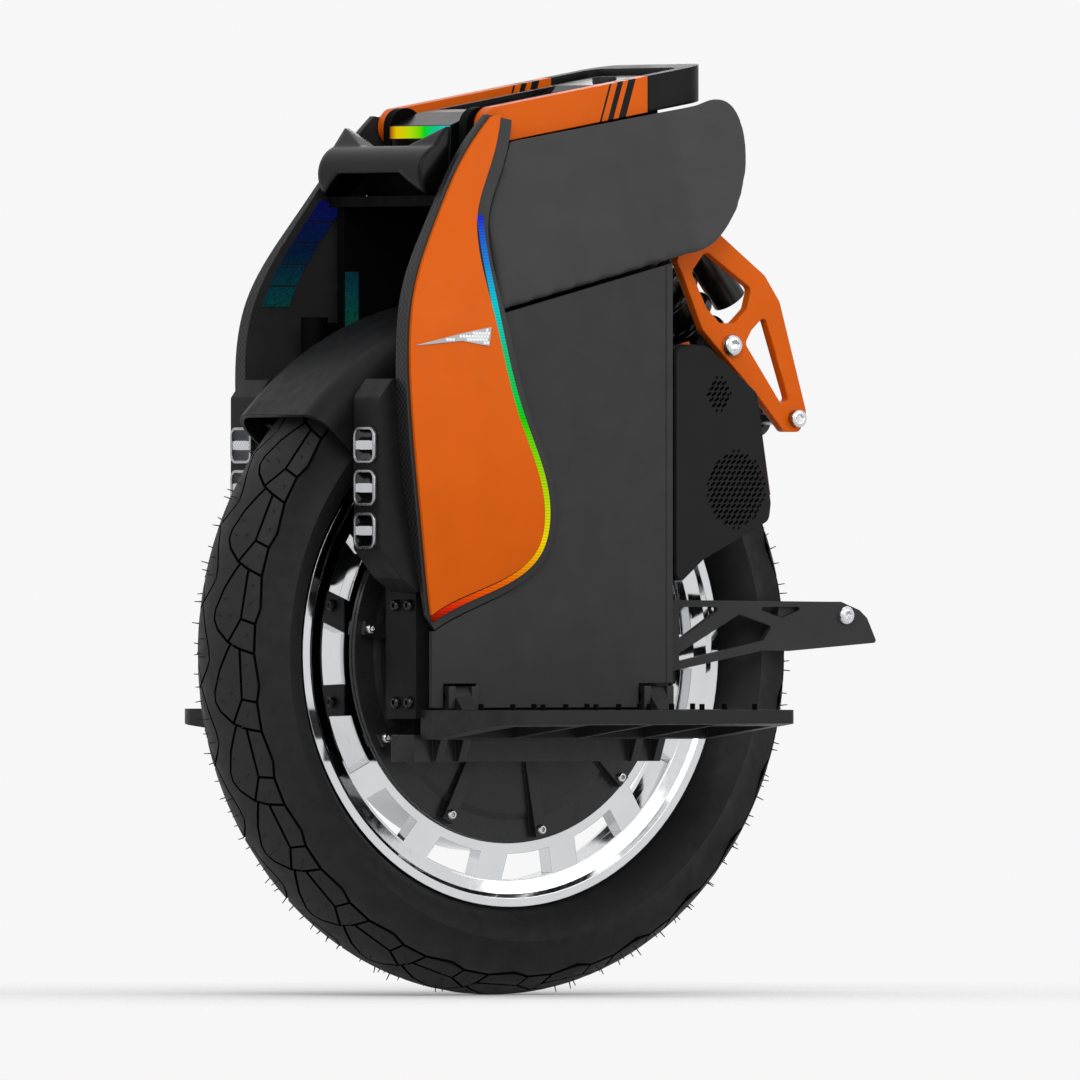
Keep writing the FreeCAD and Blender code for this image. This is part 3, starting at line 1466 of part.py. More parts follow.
def make_side_covers():
    front = fairing_chain(FAIRING_REAR_shares, dim.frame_border + dim.panel_gap)[NOTCH_POINT:]
    chain = [point for point in front if point.z < split_level(point.x)]
    first = chain[0]
    top_front = FreeCAD.Vector(first.x, 0, split_level(first.x))
    corner_rear = FreeCAD.Vector(float(dim.cover_rear), 0, split_level(float(dim.cover_rear)))
    low_rear = FreeCAD.Vector(float(dim.cover_rear), 0, float(dim.cover_low))
    low_front = FreeCAD.Vector(float(dim.cover_front), 0, float(dim.cover_low))
    high_front = FreeCAD.Vector(float(dim.cover_front), 0, chain[-1].z)
    edges = [line_edge(top_front, corner_rear), line_edge(corner_rear, low_rear),
             line_edge(low_rear, low_front),
             line_edge(low_front, high_front), line_edge(high_front, chain[-1]), spline_edge(chain[::-1]),
             line_edge(first, top_front)]
    panel = edge_face(edges).extrude(LEFT * float(dim.cover_panel_thick))
    panel.translate(LEFT * float(dim.tray_outer))
    panel = panel.cut(fairing_prism(dim.frame_front_margin, dim.frame_border + dim.panel_gap))
    for hinge in (dim.hinge_front, dim.hinge_rear):
        half = dim.knuckle_half + dim.hinge_lug + dim.panel_gap * 2
        depth = dim.hinge_level + dim.knuckle_radius + dim.panel_gap * 2 - dim.cover_low
        notch = Part.makeBox(float(half * 2), float(dim.cover_panel_thick + dim.overrun * 2),
                             float(depth + dim.overrun),
                             FreeCAD.Vector(float(hinge - half), float(dim.tray_outer - dim.overrun),
                                            float(dim.cover_low - dim.overrun)))
        panel = panel.cut(notch)
    pair(solid_piece(panel.Solids[0], "side_cover"), "side_covers")


def make_leg_pads():
    """A pad that leans in towards its top, with its outer edges drawn in all round."""
    low = dim.split_front_level + dim.panel_gap
    high = dim.handle_pivot_level + dim.pad_rise
    chain = fairing_chain(FAIRING_REAR_shares, dim.frame_border + dim.panel_gap * 2)
    front = [point for point in chain[:NOTCH_POINT + 2]
             if float(low) < point.z < float(high - dim.pad_slope)]
    rear = [FreeCAD.Vector(float(x), 0, float(z)) for x, z in spread(
        PAD_REAR_shares, dim.pad_front, dim.pad_rear, low, high)]
    rear[-1].z = split_level(rear[-1].x) + float(dim.panel_gap)
    bottom_front = FreeCAD.Vector(front[-1].x, 0, split_level(front[-1].x) + float(dim.panel_gap))
    top_front = FreeCAD.Vector(float(dim.pad_front), 0, float(high - dim.pad_slope))
    edges = [line_edge(top_front, rear[0]), spline_edge(rear), line_edge(rear[-1], bottom_front),
             line_edge(bottom_front, front[-1])]
    upwards = front[::-1] + [top_front]
    edges += [line_edge(start, end) for start, end in zip(upwards, upwards[1:])]
    span = float(high - low)
    outer = [FreeCAD.Vector(0, float(dim.body_half * across), float(low) + span * up)
             for up, across in PAD_SIDE_shares]
    inner = [FreeCAD.Vector(0, float(dim.pad_inner), point.z) for point in outer]
    side = edge_face([spline_edge(outer), line_edge(outer[-1], inner[-1]), line_edge(inner[-1], inner[0]),
                      line_edge(inner[0], outer[0])])
    side.translate(FORWARD * float(dim.pad_rear - dim.overrun))
    reach = FORWARD * float(dim.fairing_front - dim.pad_rear)
    pad = side.extrude(reach).common(raise_outline(edges))
    pad = pad.cut(fairing_prism(dim.frame_front_margin, dim.frame_border + dim.panel_gap)).Solids[0]
    rim = [edge for edge in pad.Edges if edge.BoundBox.YMin > SIZES["pad_inner"] + SIZES["fit_gap"]]
    twins(solid_piece(pad.makeFillet(SIZES["pad_round"], rim), "leg_pad"), "leg_pad")


def make_lamp_pods():
    body = new_body("lamp_pod")
    back = dim.tube_front + clamp_reach() + dim.fit_gap
    slab(body, "XZ_Plane", dim.pod_inner, dim.pod_outer - dim.pod_inner,
         *soften(spread(POD_shares, back, dim.pod_front, dim.pod_low, dim.pod_high), dim.pod_round))
    bolt_room = dim.slider_bolt_height + dim.slip_gap + dim.panel_gap
    bolt_high = dim.slider_bolt_level + dim.travel + dim.slider_bolt_radius + dim.panel_gap
    opening(body, "XZ_Plane", dim.pod_inner - dim.overrun, dim.pod_outer - dim.pod_inner + dim.overrun * 2,
            rectangle(back - dim.overrun, back + bolt_room, dim.pod_low - dim.overrun, bolt_high))
    pair(body, "lamp_pods")
    lamp = new_body("lamp_module")
    middle = (dim.pod_inner + dim.pod_outer) / 2
    half = dim.lamp_size / 2
    corners, arcs = rounded(middle - half, middle + half, -half, half, dim.lamp_round)
    slab(lamp, "YZ_Plane", dim.pod_front, dim.lamp_thick, corners, arcs)
    twin = mirrored(lamp, "lamp_module_twin")
    links = []
    for row in (-1, 0, 1):
        for source in (lamp, twin):
            link = doc.addObject("App::Link", "lamp_module_copy")
            link.LinkedObject = source
            bind(link, "Placement.Base.z",
                 dim.lamp_level + dim.lamp_pitch * row + (dim.tyre_radius if source is lamp else 0))
            links.append(link)
    group(links, "lamp_modules")


def speaker_taper():
    run = dim.speaker_front - dim.speaker_rear
    return float(dim.speaker_outer_front - dim.speaker_outer_rear) / float(run)


def speaker_form(name, margin, inner):
    """The pod's side outline met with its plan, both drawn in by a margin."""
    side = new_body(name + "_side")
    box = (dim.speaker_front - margin, dim.speaker_rear + margin, dim.speaker_low + margin * 2,
           dim.speaker_high - margin)
    slab(side, "XZ_Plane", inner, dim.speaker_outer_front,
         *soften(spread(SPEAKER_shares, *box), dim.speaker_round))
    plan = new_body(name + "_plan")
    front = dim.speaker_front + dim.overrun
    rear = dim.speaker_rear - dim.overrun
    corners = [(rear, inner), (front, inner),
               (front, dim.speaker_outer_front - margin + dim.overrun * speaker_taper()),
               (rear, dim.speaker_outer_rear - margin - dim.overrun * speaker_taper())]
    slab(plan, "XY_Plane", dim.speaker_low - dim.overrun,
         dim.speaker_high - dim.speaker_low + dim.overrun * 2, corners)
    form = doc.addObject("Part::Common", name)
    form.Base = side
    form.Tool = plan
    return form


def speaker_face(back):
    """How far out the pod's outer face lies at a distance behind the axle."""
    return dim.speaker_outer_front - (back + dim.speaker_front) * speaker_taper()


def speaker_disc(name, radius, back, level, depth, start):
    disc = doc.addObject("Part::Cylinder", name)
    bind(disc, "Radius", radius)
    bind(disc, "Height", depth)
    tilt = math.atan(speaker_taper())
    turn = FreeCAD.Rotation(UP, math.degrees(tilt)).multiply(FreeCAD.Rotation(FORWARD, -90))
    disc.Placement = FreeCAD.Placement(FreeCAD.Vector(), turn)
    bind(disc, "Placement.Base.x", start * math.sin(tilt) - back)
    bind(disc, "Placement.Base.y", speaker_face(back) - start * math.cos(tilt))
    bind(disc, "Placement.Base.z", dim.tyre_radius + level)
    return disc


def make_speakers():
    outer = speaker_form("speaker_shell", as_size(0), dim.speaker_inner)
    inner = speaker_form("speaker_hollow", dim.speaker_wall, dim.speaker_inner - dim.overrun)
    shell = doc.addObject("Part::Cut", "speaker_open_shell")
    shell.Base = outer
    shell.Tool = inner
    rows = [("large", dim.speaker_large_radius, dim.speaker_large_back, dim.speaker_large_level),
            ("small", dim.speaker_small_radius, dim.speaker_small_back, dim.speaker_small_level)]
    holes = [speaker_disc("speaker_hole_" + name, radius, back, level, dim.speaker_wall + dim.overrun * 2,
                          dim.speaker_wall + dim.overrun) for name, radius, back, level in rows]
    for hole in holes:
        opened = doc.addObject("Part::Cut", "speaker_holed_shell")
        opened.Base = shell
        opened.Tool = hole
        shell = opened
    lug = new_body("speaker_lug")
    front = dim.tube_rear - clamp_reach() - dim.fit_gap
    rear = dim.speaker_front - dim.speaker_wall
    slab(lug, "XY_Plane", dim.clamp_low, dim.clamp_high - dim.clamp_low,
         rectangle(rear, front, dim.speaker_inner, dim.block_outer))
    pod = doc.addObject("Part::Fuse", "speaker_pod")
    pod.Base = shell
    pod.Tool = lug
    pair(pod, "speaker_pods")
    discs = [speaker_disc("speaker_" + name, radius - dim.fit_gap, back, level, dim.speaker_depth,
                          dim.speaker_depth + dim.fit_gap)
             for name, radius, back, level in rows]
    group(discs + [mirrored(disc, disc.Name + "_twin") for disc in discs], "speakers")


def make_tail_lights():
    body = new_body("tail_light")
    low = dim.tail_light_low
    high = dim.tail_light_high
    box = (dim.speaker_front, dim.speaker_rear, dim.speaker_low, dim.speaker_high)
    (top_x, top_z), (low_x, low_z) = spread(SPEAKER_shares[4:6], *box)

    def edge_x(level):
        share = (level - low_z) / (top_z - low_z)
        return low_x + (top_x - low_x) * share

    corners = [(edge_x(low), low), (edge_x(high), high), (edge_x(high) - dim.tail_light_thick, high),
               (edge_x(low) - dim.tail_light_thick, low)]
    inner = dim.speaker_inner + dim.speaker_wall
    slab(body, "XZ_Plane", inner, dim.speaker_outer_rear - dim.speaker_wall - inner, corners)
    pair(body, "tail_lights")


# Pedals

def make_pedals():
    body = new_body("pedal")
    front = dim.pedal_front
    inner = dim.pedal_inner
    outer = dim.pedal_outer
    low = dim.pedal_top - dim.pedal_root_thick
    corner = dim.pedal_corner
    nose = front + dim.pedal_lead
    tail = dim.pedal_tail_corner
    corners = [(-front, inner), (front, inner), (nose, outer - corner), (nose - corner, outer),
               (-front + tail, outer), (-front, outer - tail)]
    slab(body, "XY_Plane", low, dim.pedal_root_thick, corners,
         {2: QUARTER_ROUND_share, 4: QUARTER_ROUND_share})
    edge_low = dim.pedal_top - dim.pedal_edge_thick
    under = [(inner + dim.pedal_rim * 2, low - dim.overrun), (outer + dim.overrun, low - dim.overrun),
             (outer + dim.overrun, edge_low), (outer, edge_low), (inner + dim.pedal_rim * 2, low)]
    opening(body, "YZ_Plane", -front - dim.overrun, front + nose + dim.overrun * 2, under)
    cell = (front * 2 - dim.pedal_rim * 2 - dim.pedal_rib * 3) / 4
    floor = dim.pedal_top - dim.pedal_shell
    for number in range(4):
        start = -front + dim.pedal_rim + (cell + dim.pedal_rib) * number
        near = inner + dim.pedal_rim * 3
        far = outer - dim.pedal_rim
        if number in (0, 3):
            far = far - corner / 2
        opening(body, "XY_Plane", low - dim.overrun, floor - low + dim.overrun,
                rectangle(start, start + cell, near, far))
    slot_out = dim.hinge_out + dim.knuckle_radius + dim.panel_gap
    for hinge in (dim.hinge_front, dim.hinge_rear):
        knuckle = dim.knuckle_half
        slab(body, "YZ_Plane", hinge - knuckle, knuckle * 2,
             [(dim.hinge_out - dim.knuckle_radius, dim.pedal_top - dim.pedal_shell),
              (slot_out + dim.knuckle_radius, dim.pedal_top - dim.pedal_shell),
              (slot_out + dim.knuckle_radius, dim.pedal_top),
              (dim.hinge_out + dim.knuckle_radius, dim.hinge_level),
              (dim.hinge_out - dim.knuckle_radius, dim.hinge_level)], {3: HALF_ROUND_share})
        for start in (hinge - knuckle - dim.hinge_lug - dim.panel_gap, hinge + knuckle):
            opening(body, "XY_Plane", low - dim.overrun, dim.pedal_root_thick + dim.overrun * 2,
                    rectangle(start, start + dim.hinge_lug + dim.panel_gap, inner - dim.overrun,
                              slot_out))
        bore(body, "YZ_Plane", hinge - knuckle - dim.overrun, knuckle * 2 + dim.overrun * 2,
             (dim.hinge_out, dim.hinge_level), dim.hinge_pin_radius + dim.slip_gap)
    twins(body, "pedal")
    make_pedal_studs()
    make_pedal_pins()


def make_pedal_studs():
    stud = doc.addObject("PartDesign::Body", "pedal_stud")
    post(stud, "XY_Plane", 0, dim.stud_height, (0, 0), dim.stud_radius)
    near = dim.hinge_out + dim.knuckle_radius * 2 + dim.panel_gap + dim.stud_radius * 2
    for side, label in ((1, "pedal_studs_left"), (-1, "pedal_studs_right")):
        places = []
        for along, across in STUD_shares:
            x = dim.pedal_front * along
            y = near + (dim.pedal_outer - near) * across
            places.append((x, y * side, dim.tyre_radius + dim.pedal_top, NO_TURN))
        copies(stud, places, label)


def make_pedal_pins():
    pin = doc.addObject("PartDesign::Body", "pedal_pin")
    half = dim.knuckle_half + dim.fit_gap + dim.hinge_lug
    post(pin, "YZ_Plane", -half, half * 2, (0, 0), dim.hinge_pin_radius)
    level = dim.tyre_radius + dim.hinge_level
    places = [(hinge, dim.hinge_out * side, level, NO_TURN) for hinge in (dim.hinge_front, dim.hinge_rear)
              for side in (1, -1)]
    copies(pin, places, "pedal_pins")


# Top handle

def handle_level(x):
    """Middle level of the handle's arm at a place along it."""
    share = (x - dim.handle_pivot) / (dim.handle_rear - dim.handle_pivot)
    return dim.handle_pivot_level + dim.handle_rise * share


def make_handle():
    split = dim.handle_pivot + (dim.handle_rear - dim.handle_pivot) * dim.handle_split_share
    half = dim.handle_depth / 2
    arm = new_body("handle_arm")
    thick = dim.handle_outer - dim.handle_inner
    corners = [(dim.handle_pivot, dim.handle_pivot_level - half),
               (dim.handle_pivot, dim.handle_pivot_level + half),
               (split, handle_level(split) + half), (split, handle_level(split) - half)]
    slab(arm, "XZ_Plane", dim.handle_inner, thick, corners, {0: HANDLE_END_share})
    bore(arm, "XZ_Plane", dim.handle_inner - dim.overrun, thick + dim.overrun * 2,
         (dim.handle_pivot, dim.handle_pivot_level), dim.handle_pin_radius + dim.slip_gap)
    pair(arm, "handle_arms")
    loop = new_body("handle_loop_profile")
    profile = [(dim.handle_rear, handle_level(dim.handle_rear) - half),
               (split, handle_level(split) - half),
               (split, handle_level(split) + half),
               (dim.handle_rear, handle_level(dim.handle_rear) + half)]
    slab(loop, "XZ_Plane", -dim.handle_outer, dim.handle_outer * 2, profile)
    low = dim.handle_pivot_level - dim.overrun - half
    high = handle_level(dim.handle_rear) + half + dim.overrun
    inner_rear = dim.handle_rear + thick * 1.4
    inner_round = dim.grip_round * 0.5
    rear = dim.handle_rear
    ring = new_body("handle_loop_plan")
    plan = [(split, -dim.handle_outer), (split, -dim.handle_inner),
            (inner_rear + inner_round, -dim.handle_inner),
            (inner_rear, inner_round - dim.handle_inner), (inner_rear, dim.handle_inner - inner_round),
            (inner_rear + inner_round, dim.handle_inner), (split, dim.handle_inner),
            (split, dim.handle_outer),
            (rear + dim.grip_round, dim.handle_outer), (rear, dim.handle_outer - dim.grip_round),
            (rear, dim.grip_round - dim.handle_outer), (rear + dim.grip_round, -dim.handle_outer)]
    slab(ring, "XY_Plane", low, high - low, plan, {2: -QUARTER_ROUND_share, 4: -QUARTER_ROUND_share,
                                                   8: QUARTER_ROUND_share, 10: QUARTER_ROUND_share})
    grip = doc.addObject("Part::Common", "handle_loop")
    grip.Base = loop
    grip.Tool = ring
    keep(grip, "handle_loop")
    pin = new_body("handle_pin")
    start = dim.controller_half - dim.ear_thick
    post(pin, "XZ_Plane", start, dim.handle_outer - start, (dim.handle_pivot, dim.handle_pivot_level),
         dim.handle_pin_radius)
    pair(pin, "handle_pins")


make_tyre()
make_rim()
make_rotor_ring()
make_motor_covers()
make_motor_cover_screws()
make_wheel_bearings()
make_valve_stem()
make_axle()
make_stator()
make_axle_nuts()
make_carriage_plates()
make_slider_bushes()
make_slider_bolts()
make_front_fender()
make_mudguard()
make_shock_plates()
make_shock_plate_bolts()
make_shock_rod()
make_shock_body()
make_coil_spring()
make_pedal_hangers()
make_guide_tubes()
make_side_frames()
make_battery_packs()
make_top_deck()
make_controller_box()
make_top_hood()
make_display_lens()
make_power_button()
make_charge_inlet()
make_front_brow()
make_front_light_bar()
make_fairings()
make_light_strips()
make_reflectors()
make_side_covers()
make_leg_pads()
make_lamp_pods()
make_speakers()
make_tail_lights()
make_pedals()
make_handle()
doc.recompute()

failed = [thing.Label for thing in doc.Objects if "Invalid" in thing.State or "Error" in thing.State]
failed += [thing.Label for thing in SUB_PARTS if thing.Shape.isNull() or not thing.Shape.isValid()]
if failed:
    raise RuntimeError("not built: " + ", ".join(failed))

os.makedirs("parts", exist_ok=True)
for thing in SUB_PARTS:
    thing.Shape.exportStep("parts/%s.step" % thing.Label)
print("%d sub-parts" % len(SUB_PARTS))
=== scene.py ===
"""Looks of the electric unicycle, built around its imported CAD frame."""
import json
import math
import random
from collections import namedtuple
from functools import partial
from itertools import product

import bmesh
import bpy
import numpy as np
from mathutils import Matrix, Vector
from mathutils.bvhtree import BVHTree
from mathutils.geometry import delaunay_2d_cdt


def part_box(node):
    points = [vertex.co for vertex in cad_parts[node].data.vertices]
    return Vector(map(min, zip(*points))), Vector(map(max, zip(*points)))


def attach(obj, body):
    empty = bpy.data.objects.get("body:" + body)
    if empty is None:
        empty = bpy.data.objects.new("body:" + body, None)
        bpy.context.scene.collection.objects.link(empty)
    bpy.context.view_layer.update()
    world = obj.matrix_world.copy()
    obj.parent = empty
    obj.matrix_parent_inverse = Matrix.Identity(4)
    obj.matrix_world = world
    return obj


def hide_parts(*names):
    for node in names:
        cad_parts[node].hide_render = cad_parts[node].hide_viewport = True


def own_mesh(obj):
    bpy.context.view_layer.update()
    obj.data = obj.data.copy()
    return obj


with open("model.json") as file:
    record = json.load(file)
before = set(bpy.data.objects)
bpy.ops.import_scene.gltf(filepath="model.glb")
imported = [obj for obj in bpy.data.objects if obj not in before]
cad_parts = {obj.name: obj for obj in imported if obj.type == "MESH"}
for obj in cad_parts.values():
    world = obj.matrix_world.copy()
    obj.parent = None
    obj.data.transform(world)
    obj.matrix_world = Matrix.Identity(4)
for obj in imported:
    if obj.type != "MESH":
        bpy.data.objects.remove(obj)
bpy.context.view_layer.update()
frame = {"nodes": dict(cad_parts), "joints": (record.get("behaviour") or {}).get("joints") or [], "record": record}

nodes = frame["nodes"]
joints = {joint["name"]: joint for joint in frame["joints"]}
slots = {part["node"]: part["material_slot"] for part in frame["record"]["subparts"]}
scene = bpy.context.scene

MM = 0.001
TURN = 2 * math.pi
SIXTH = TURN / 6
FORWARD = Vector((1, 0, 0))
LEFT = Vector((0, 1, 0))
UP = Vector((0, 0, 1))
AXLE = Vector((0, 0, joints["wheel_spin"]["pos_m"][2]))
SMOOTH_ANGLE = math.radians(35)
WELD = 0.001 * MM


# Materials

NOISE_DETAIL = 3.0
SPOT_LOW, SPOT_HIGH = 0.3, 0.7
LEAST_ROUGHNESS = 0.02
BEVEL_SAMPLES = 6
# Painted highlight on edges: where the rounded normal leaves the flat one, a colour this many times paler is laid
# on, broken into noise patches of this size.
EDGE_FLAT, EDGE_SHARP = 0.995, 0.85
HIGHLIGHT_SPOT_SIZE = 4 * MM
HIGHLIGHT_SPOT_LOW, HIGHLIGHT_SPOT_HIGH = 0.42, 0.62
HIGHLIGHT_PALER = 2.2

# The surface of a material. In millimetres: the size of its spots of colour, the radius that its
# edges show, the size of its patches of gloss, and its grain's size and depth. As shares: the
# contrast of the spots, the painted highlight on the edges and the swing of the gloss.
FINISH_FIELDS = "spots contrast edge wear patches swing grain depth"
Finish = namedtuple("Finish", FINISH_FIELDS, defaults=[0] * len(FINISH_FIELDS.split()))
PLAIN = Finish()
RUBBER = Finish(spots=14, contrast=0.14, patches=9, swing=0.1, grain=0.9, depth=0.05)
GROOVE = Finish(spots=6, contrast=0.2, grain=0.9, depth=0.05)
CHROME = Finish(spots=30, contrast=0.03, edge=0.8, patches=5, swing=0.035, grain=0.5, depth=0.004)
SATIN = Finish(22, 0.12, edge=0.8, wear=0.35, patches=11, swing=0.07, grain=0.45, depth=0.02)
GLOSS = Finish(30, 0.1, edge=1.2, wear=0.2, patches=24, swing=0.04, grain=6, depth=0.01)
METAL = Finish(2, 0.08, edge=0.5, wear=0.3, patches=1.5, swing=0.08, grain=0.4, depth=0.01)
PAINT = Finish(35, 0.035, edge=1.0, wear=0.3, patches=16, swing=0.06, grain=0.5, depth=0.008)
BORDER = Finish(20, 0.1, edge=1.0, wear=0.25, grain=0.45, depth=0.015)
PANEL = Finish(26, 0.08, edge=1.0, wear=0.3, patches=14, swing=0.06, grain=0.45, depth=0.02)
PADDING = Finish(spots=40, contrast=0.06, patches=18, swing=0.06, grain=0.5, depth=0.03)
LENS = Finish(spots=2, contrast=0.06, grain=0.6, depth=0.02)
TAIL = Finish(spots=3, contrast=0.2, edge=0.8)
CAST = Finish(8, 0.15, edge=1.2, wear=0.4, patches=8, swing=0.08, grain=0.8, depth=0.03)


def linear(red, green, blue):
    """A screen colour of 0 to 255 as the linear values that a shader takes."""
    def channel(value):
        share = value / 255
        return share / 12.92 if share <= 0.04045 else ((share + 0.055) / 1.055) ** 2.4
    return (channel(red), channel(green), channel(blue), 1.0)


def grey(tone, cool=0):
    return linear(tone, tone, tone + cool)


def shaded(color, factor):
    return tuple(min(1.0, part * factor) for part in color[:3]) + (1.0,)


class NodeNet:
    """A node tree, with short ways to add to it."""

    def __init__(self, tree):
        self.tree = tree

    def put(self, value, socket):
        """A value, or another node's output, on a socket."""
        if isinstance(value, bpy.types.NodeSocket):
            self.tree.links.new(value, socket)
        else:
            socket.default_value = value

    def add(self, kind, inputs=(), **settings):
        """A node with its settings, and with values or outputs on its inputs."""
        node = self.tree.nodes.new("ShaderNode" + kind)
        for key, value in settings.items():
            setattr(node, key, value)
        for key, value in dict(inputs).items():
            self.put(value, node.inputs[key])
        return node

    def calc(self, operation, *values):
        return self.add("Math", enumerate(values), operation=operation).outputs["Value"]

    def blend(self, factor, first, second):
        return self.add("MixShader", {0: factor, 1: first, 2: second}).outputs[0]


class Look(NodeNet):
    """A procedural material around one Principled shader, with a finish."""

    def __init__(self, name, color, roughness, finish=PLAIN, stretch=(1, 1, 1), highlight_color=None,
                 specular=0.5, **inputs):
        self.material = bpy.data.materials.new(name)
        self.material.use_nodes = True
        super().__init__(self.material.node_tree)
        self.shader = self.tree.nodes["Principled BSDF"]
        self.color = color
        self.highlight_color = highlight_color or shaded(color, HIGHLIGHT_PALER)
        self.roughness = roughness
        self.finish = finish
        self.stretch = stretch
        self.shader.inputs["Specular IOR Level"].default_value = specular
        for key, value in dict(inputs, base_color=color, roughness=roughness).items():
            self.shader.inputs[key.replace("_", " ").title()].default_value = value
        self.place = self.add("TexCoord").outputs["Object"]
        self.base = None
        self.normal = None
        self.reliefs = []
        if finish.spots:
            spots = self.ramp(self.noise(finish.spots * MM, stretch=stretch), SPOT_LOW, SPOT_HIGH)
            self.base = self.mix(spots, shaded(color, 1 - finish.contrast),
                                 shaded(color, 1 + finish.contrast))

    def noise(self, size, detail=NOISE_DETAIL, stretch=(1, 1, 1)):
        """Noise whose marks are about that size in metres, drawn out along an axis by stretch."""
        scale = [1 / part for part in stretch]
        spread = self.add("Mapping", {"Vector": self.place, "Scale": scale}).outputs["Vector"]
        settings = {"Vector": spread, "Scale": 1 / size, "Detail": detail}
        return self.add("TexNoise", settings).outputs["Fac"]

    def ramp(self, source, low, high, to_low=0.0, to_high=1.0):
        limits = {"From Min": low, "From Max": high, "To Min": to_low, "To Max": to_high}
        return self.add("MapRange", {"Value": source, **limits}).outputs["Result"]

    def length(self, vector):
        return self.add("VectorMath", {0: vector}, operation="LENGTH").outputs["Value"]

    def part(self, vector, letter):
        return self.add("SeparateXYZ", {"Vector": vector}).outputs[letter]

    def axis(self, letter):
        """One coordinate of the point in the row frame, in metres."""
        return self.part(self.place, letter)

    def facing(self, letter):
        return self.part(self.add("NewGeometry").outputs["Normal"], letter)

    def near(self, value, place, inner, outer):
        """1 within the inner distance of a place, 0 beyond the outer one."""
        distance = self.calc("ABSOLUTE", self.calc("SUBTRACT", value, place))
        return self.ramp(distance, outer, inner)

    def mix(self, factor, first, second, blend="MIX"):
        """A colour between two, or one blended with the other."""
        return self.add("Mix", {0: factor, 6: first, 7: second}, data_type="RGBA",
                        blend_type=blend).outputs[2]

    def weave(self, pitch):
        """Squares of a twill weave, as a height of 0 to 1."""
        settings = {"Vector": self.place, "Scale": 1 / pitch}
        return self.add("TexChecker", settings).outputs["Fac"]

    def band(self, position, stops):
        """A run of colours along a position of 0 to 1."""
        node = self.add("ValToRGB", {"Fac": position})
        elements = node.color_ramp.elements
        elements[0].position, elements[0].color = stops[0]
        elements[1].position, elements[1].color = stops[-1]
        for place, color in stops[1:-1]:
            elements.new(place).color = color
        return node.outputs["Color"]

    def paint(self, factor, color):
        """Lays a colour over the base where the factor is 1."""
        self.base = self.mix(factor, self.base or self.color, color)

    def relief(self, height, depth):
        """Relief in the shading, of that depth in metres."""
        self.reliefs.append((height, depth))

    def round_edges(self):
        """Edges shaded as if rounded, with a painted highlight laid along them in patches."""
        if self.normal or not self.finish.edge:
            return
        radius = self.finish.edge * MM
        bevel = self.add("Bevel", {"Radius": radius}, samples=BEVEL_SAMPLES)
        self.normal = bevel.outputs["Normal"]
        if self.finish.wear:
            flat = self.add("NewGeometry").outputs["Normal"]
            likeness = self.add("VectorMath", {0: self.normal, 1: flat},
                                operation="DOT_PRODUCT").outputs["Value"]
            edge = self.ramp(likeness, EDGE_FLAT, EDGE_SHARP, 0.0, self.finish.wear)
            highlight_spots = self.ramp(self.noise(HIGHLIGHT_SPOT_SIZE), HIGHLIGHT_SPOT_LOW, HIGHLIGHT_SPOT_HIGH)
            # Painted highlight: the paler colour laid on the edges in patches.
            self.paint(self.calc("MULTIPLY", edge, highlight_spots), self.highlight_color)

    def glow(self, color, strength):
        self.put(color, self.shader.inputs["Emission Color"])
        self.shader.inputs["Emission Strength"].default_value = strength

    def done(self):
        """Adds what the finish says and gives the material."""
        finish = self.finish
        self.round_edges()
        if finish.swing:
            low = max(LEAST_ROUGHNESS, self.roughness - finish.swing)
            high = min(1.0, self.roughness + finish.swing)
            patches = self.noise(finish.patches * MM, stretch=self.stretch)
            gloss = self.ramp(patches, SPOT_LOW, SPOT_HIGH, low, high)
            self.put(gloss, self.shader.inputs["Roughness"])
        if finish.depth:
            self.relief(self.noise(finish.grain * MM, stretch=self.stretch), finish.depth * MM)
        for height, depth in self.reliefs:
            bump = self.add("Bump", {"Height": height, "Distance": depth})
            if self.normal:
                self.put(self.normal, bump.inputs["Normal"])
            self.normal = bump.outputs["Normal"]
        for value, name in ((self.base, "Base Color"), (self.normal, "Normal")):
            if value:
                self.put(value, self.shader.inputs[name])
        return self.material


ORANGE = linear(224, 97, 6)
# Painted highlight colour for the edges of the orange parts.
HIGHLIGHT_ORANGE = linear(255, 160, 90)
RED = linear(225, 40, 10)
YELLOW = linear(250, 225, 10)
GREEN = linear(10, 220, 10)
CYAN = linear(10, 215, 225)
BLUE = linear(35, 45, 215)
UNLIT = grey(3)

PALE_FROM, PALE_TO = 236 * MM, 244 * MM
DUST_SIZE = 3 * MM
DUST_LOW, DUST_HIGH, DUST_SHARE = 0.52, 0.75, 0.25


def rubber_look():
    """Rubber that is paler on the tread, with a little dust."""
    look = Look("tyre_rubber", grey(34, 1), 0.6, RUBBER, specular=0.14)
    height = look.calc("SUBTRACT", look.axis("Z"), AXLE.z)
    flat = look.add("CombineXYZ", {"X": look.axis("X"), "Z": height}).outputs["Vector"]
    look.paint(look.ramp(look.length(flat), PALE_FROM, PALE_TO), grey(45, 1))
    dust = look.ramp(look.noise(DUST_SIZE), DUST_LOW, DUST_HIGH, 0.0, DUST_SHARE)
    look.paint(dust, linear(44, 43, 42))
    return look.done()


# Painted shade: the groove faces get a near-black rubber with almost no gloss, darker than the tread.
def groove_shade_look():
    return Look("tread_groove_shade", grey(6), 0.85, GROOVE, specular=0.03).done()


def chrome_look():
    return Look("polished_rim", linear(214, 215, 217), 0.07, CHROME, metallic=1.0).done()


def satin_look(name, tone, roughness, specular=0.18):
    """Black paint or moulded plastic with a fine grain and a painted highlight in patches on the edges."""
    return Look(name, grey(tone, 1), roughness, SATIN, specular=specular).done()


def gloss_look(name, tone, roughness=0.2, edge=GLOSS.edge):
    finish = GLOSS._replace(edge=edge)
    return Look(name, grey(tone, 1), roughness, finish, specular=0.14).done()


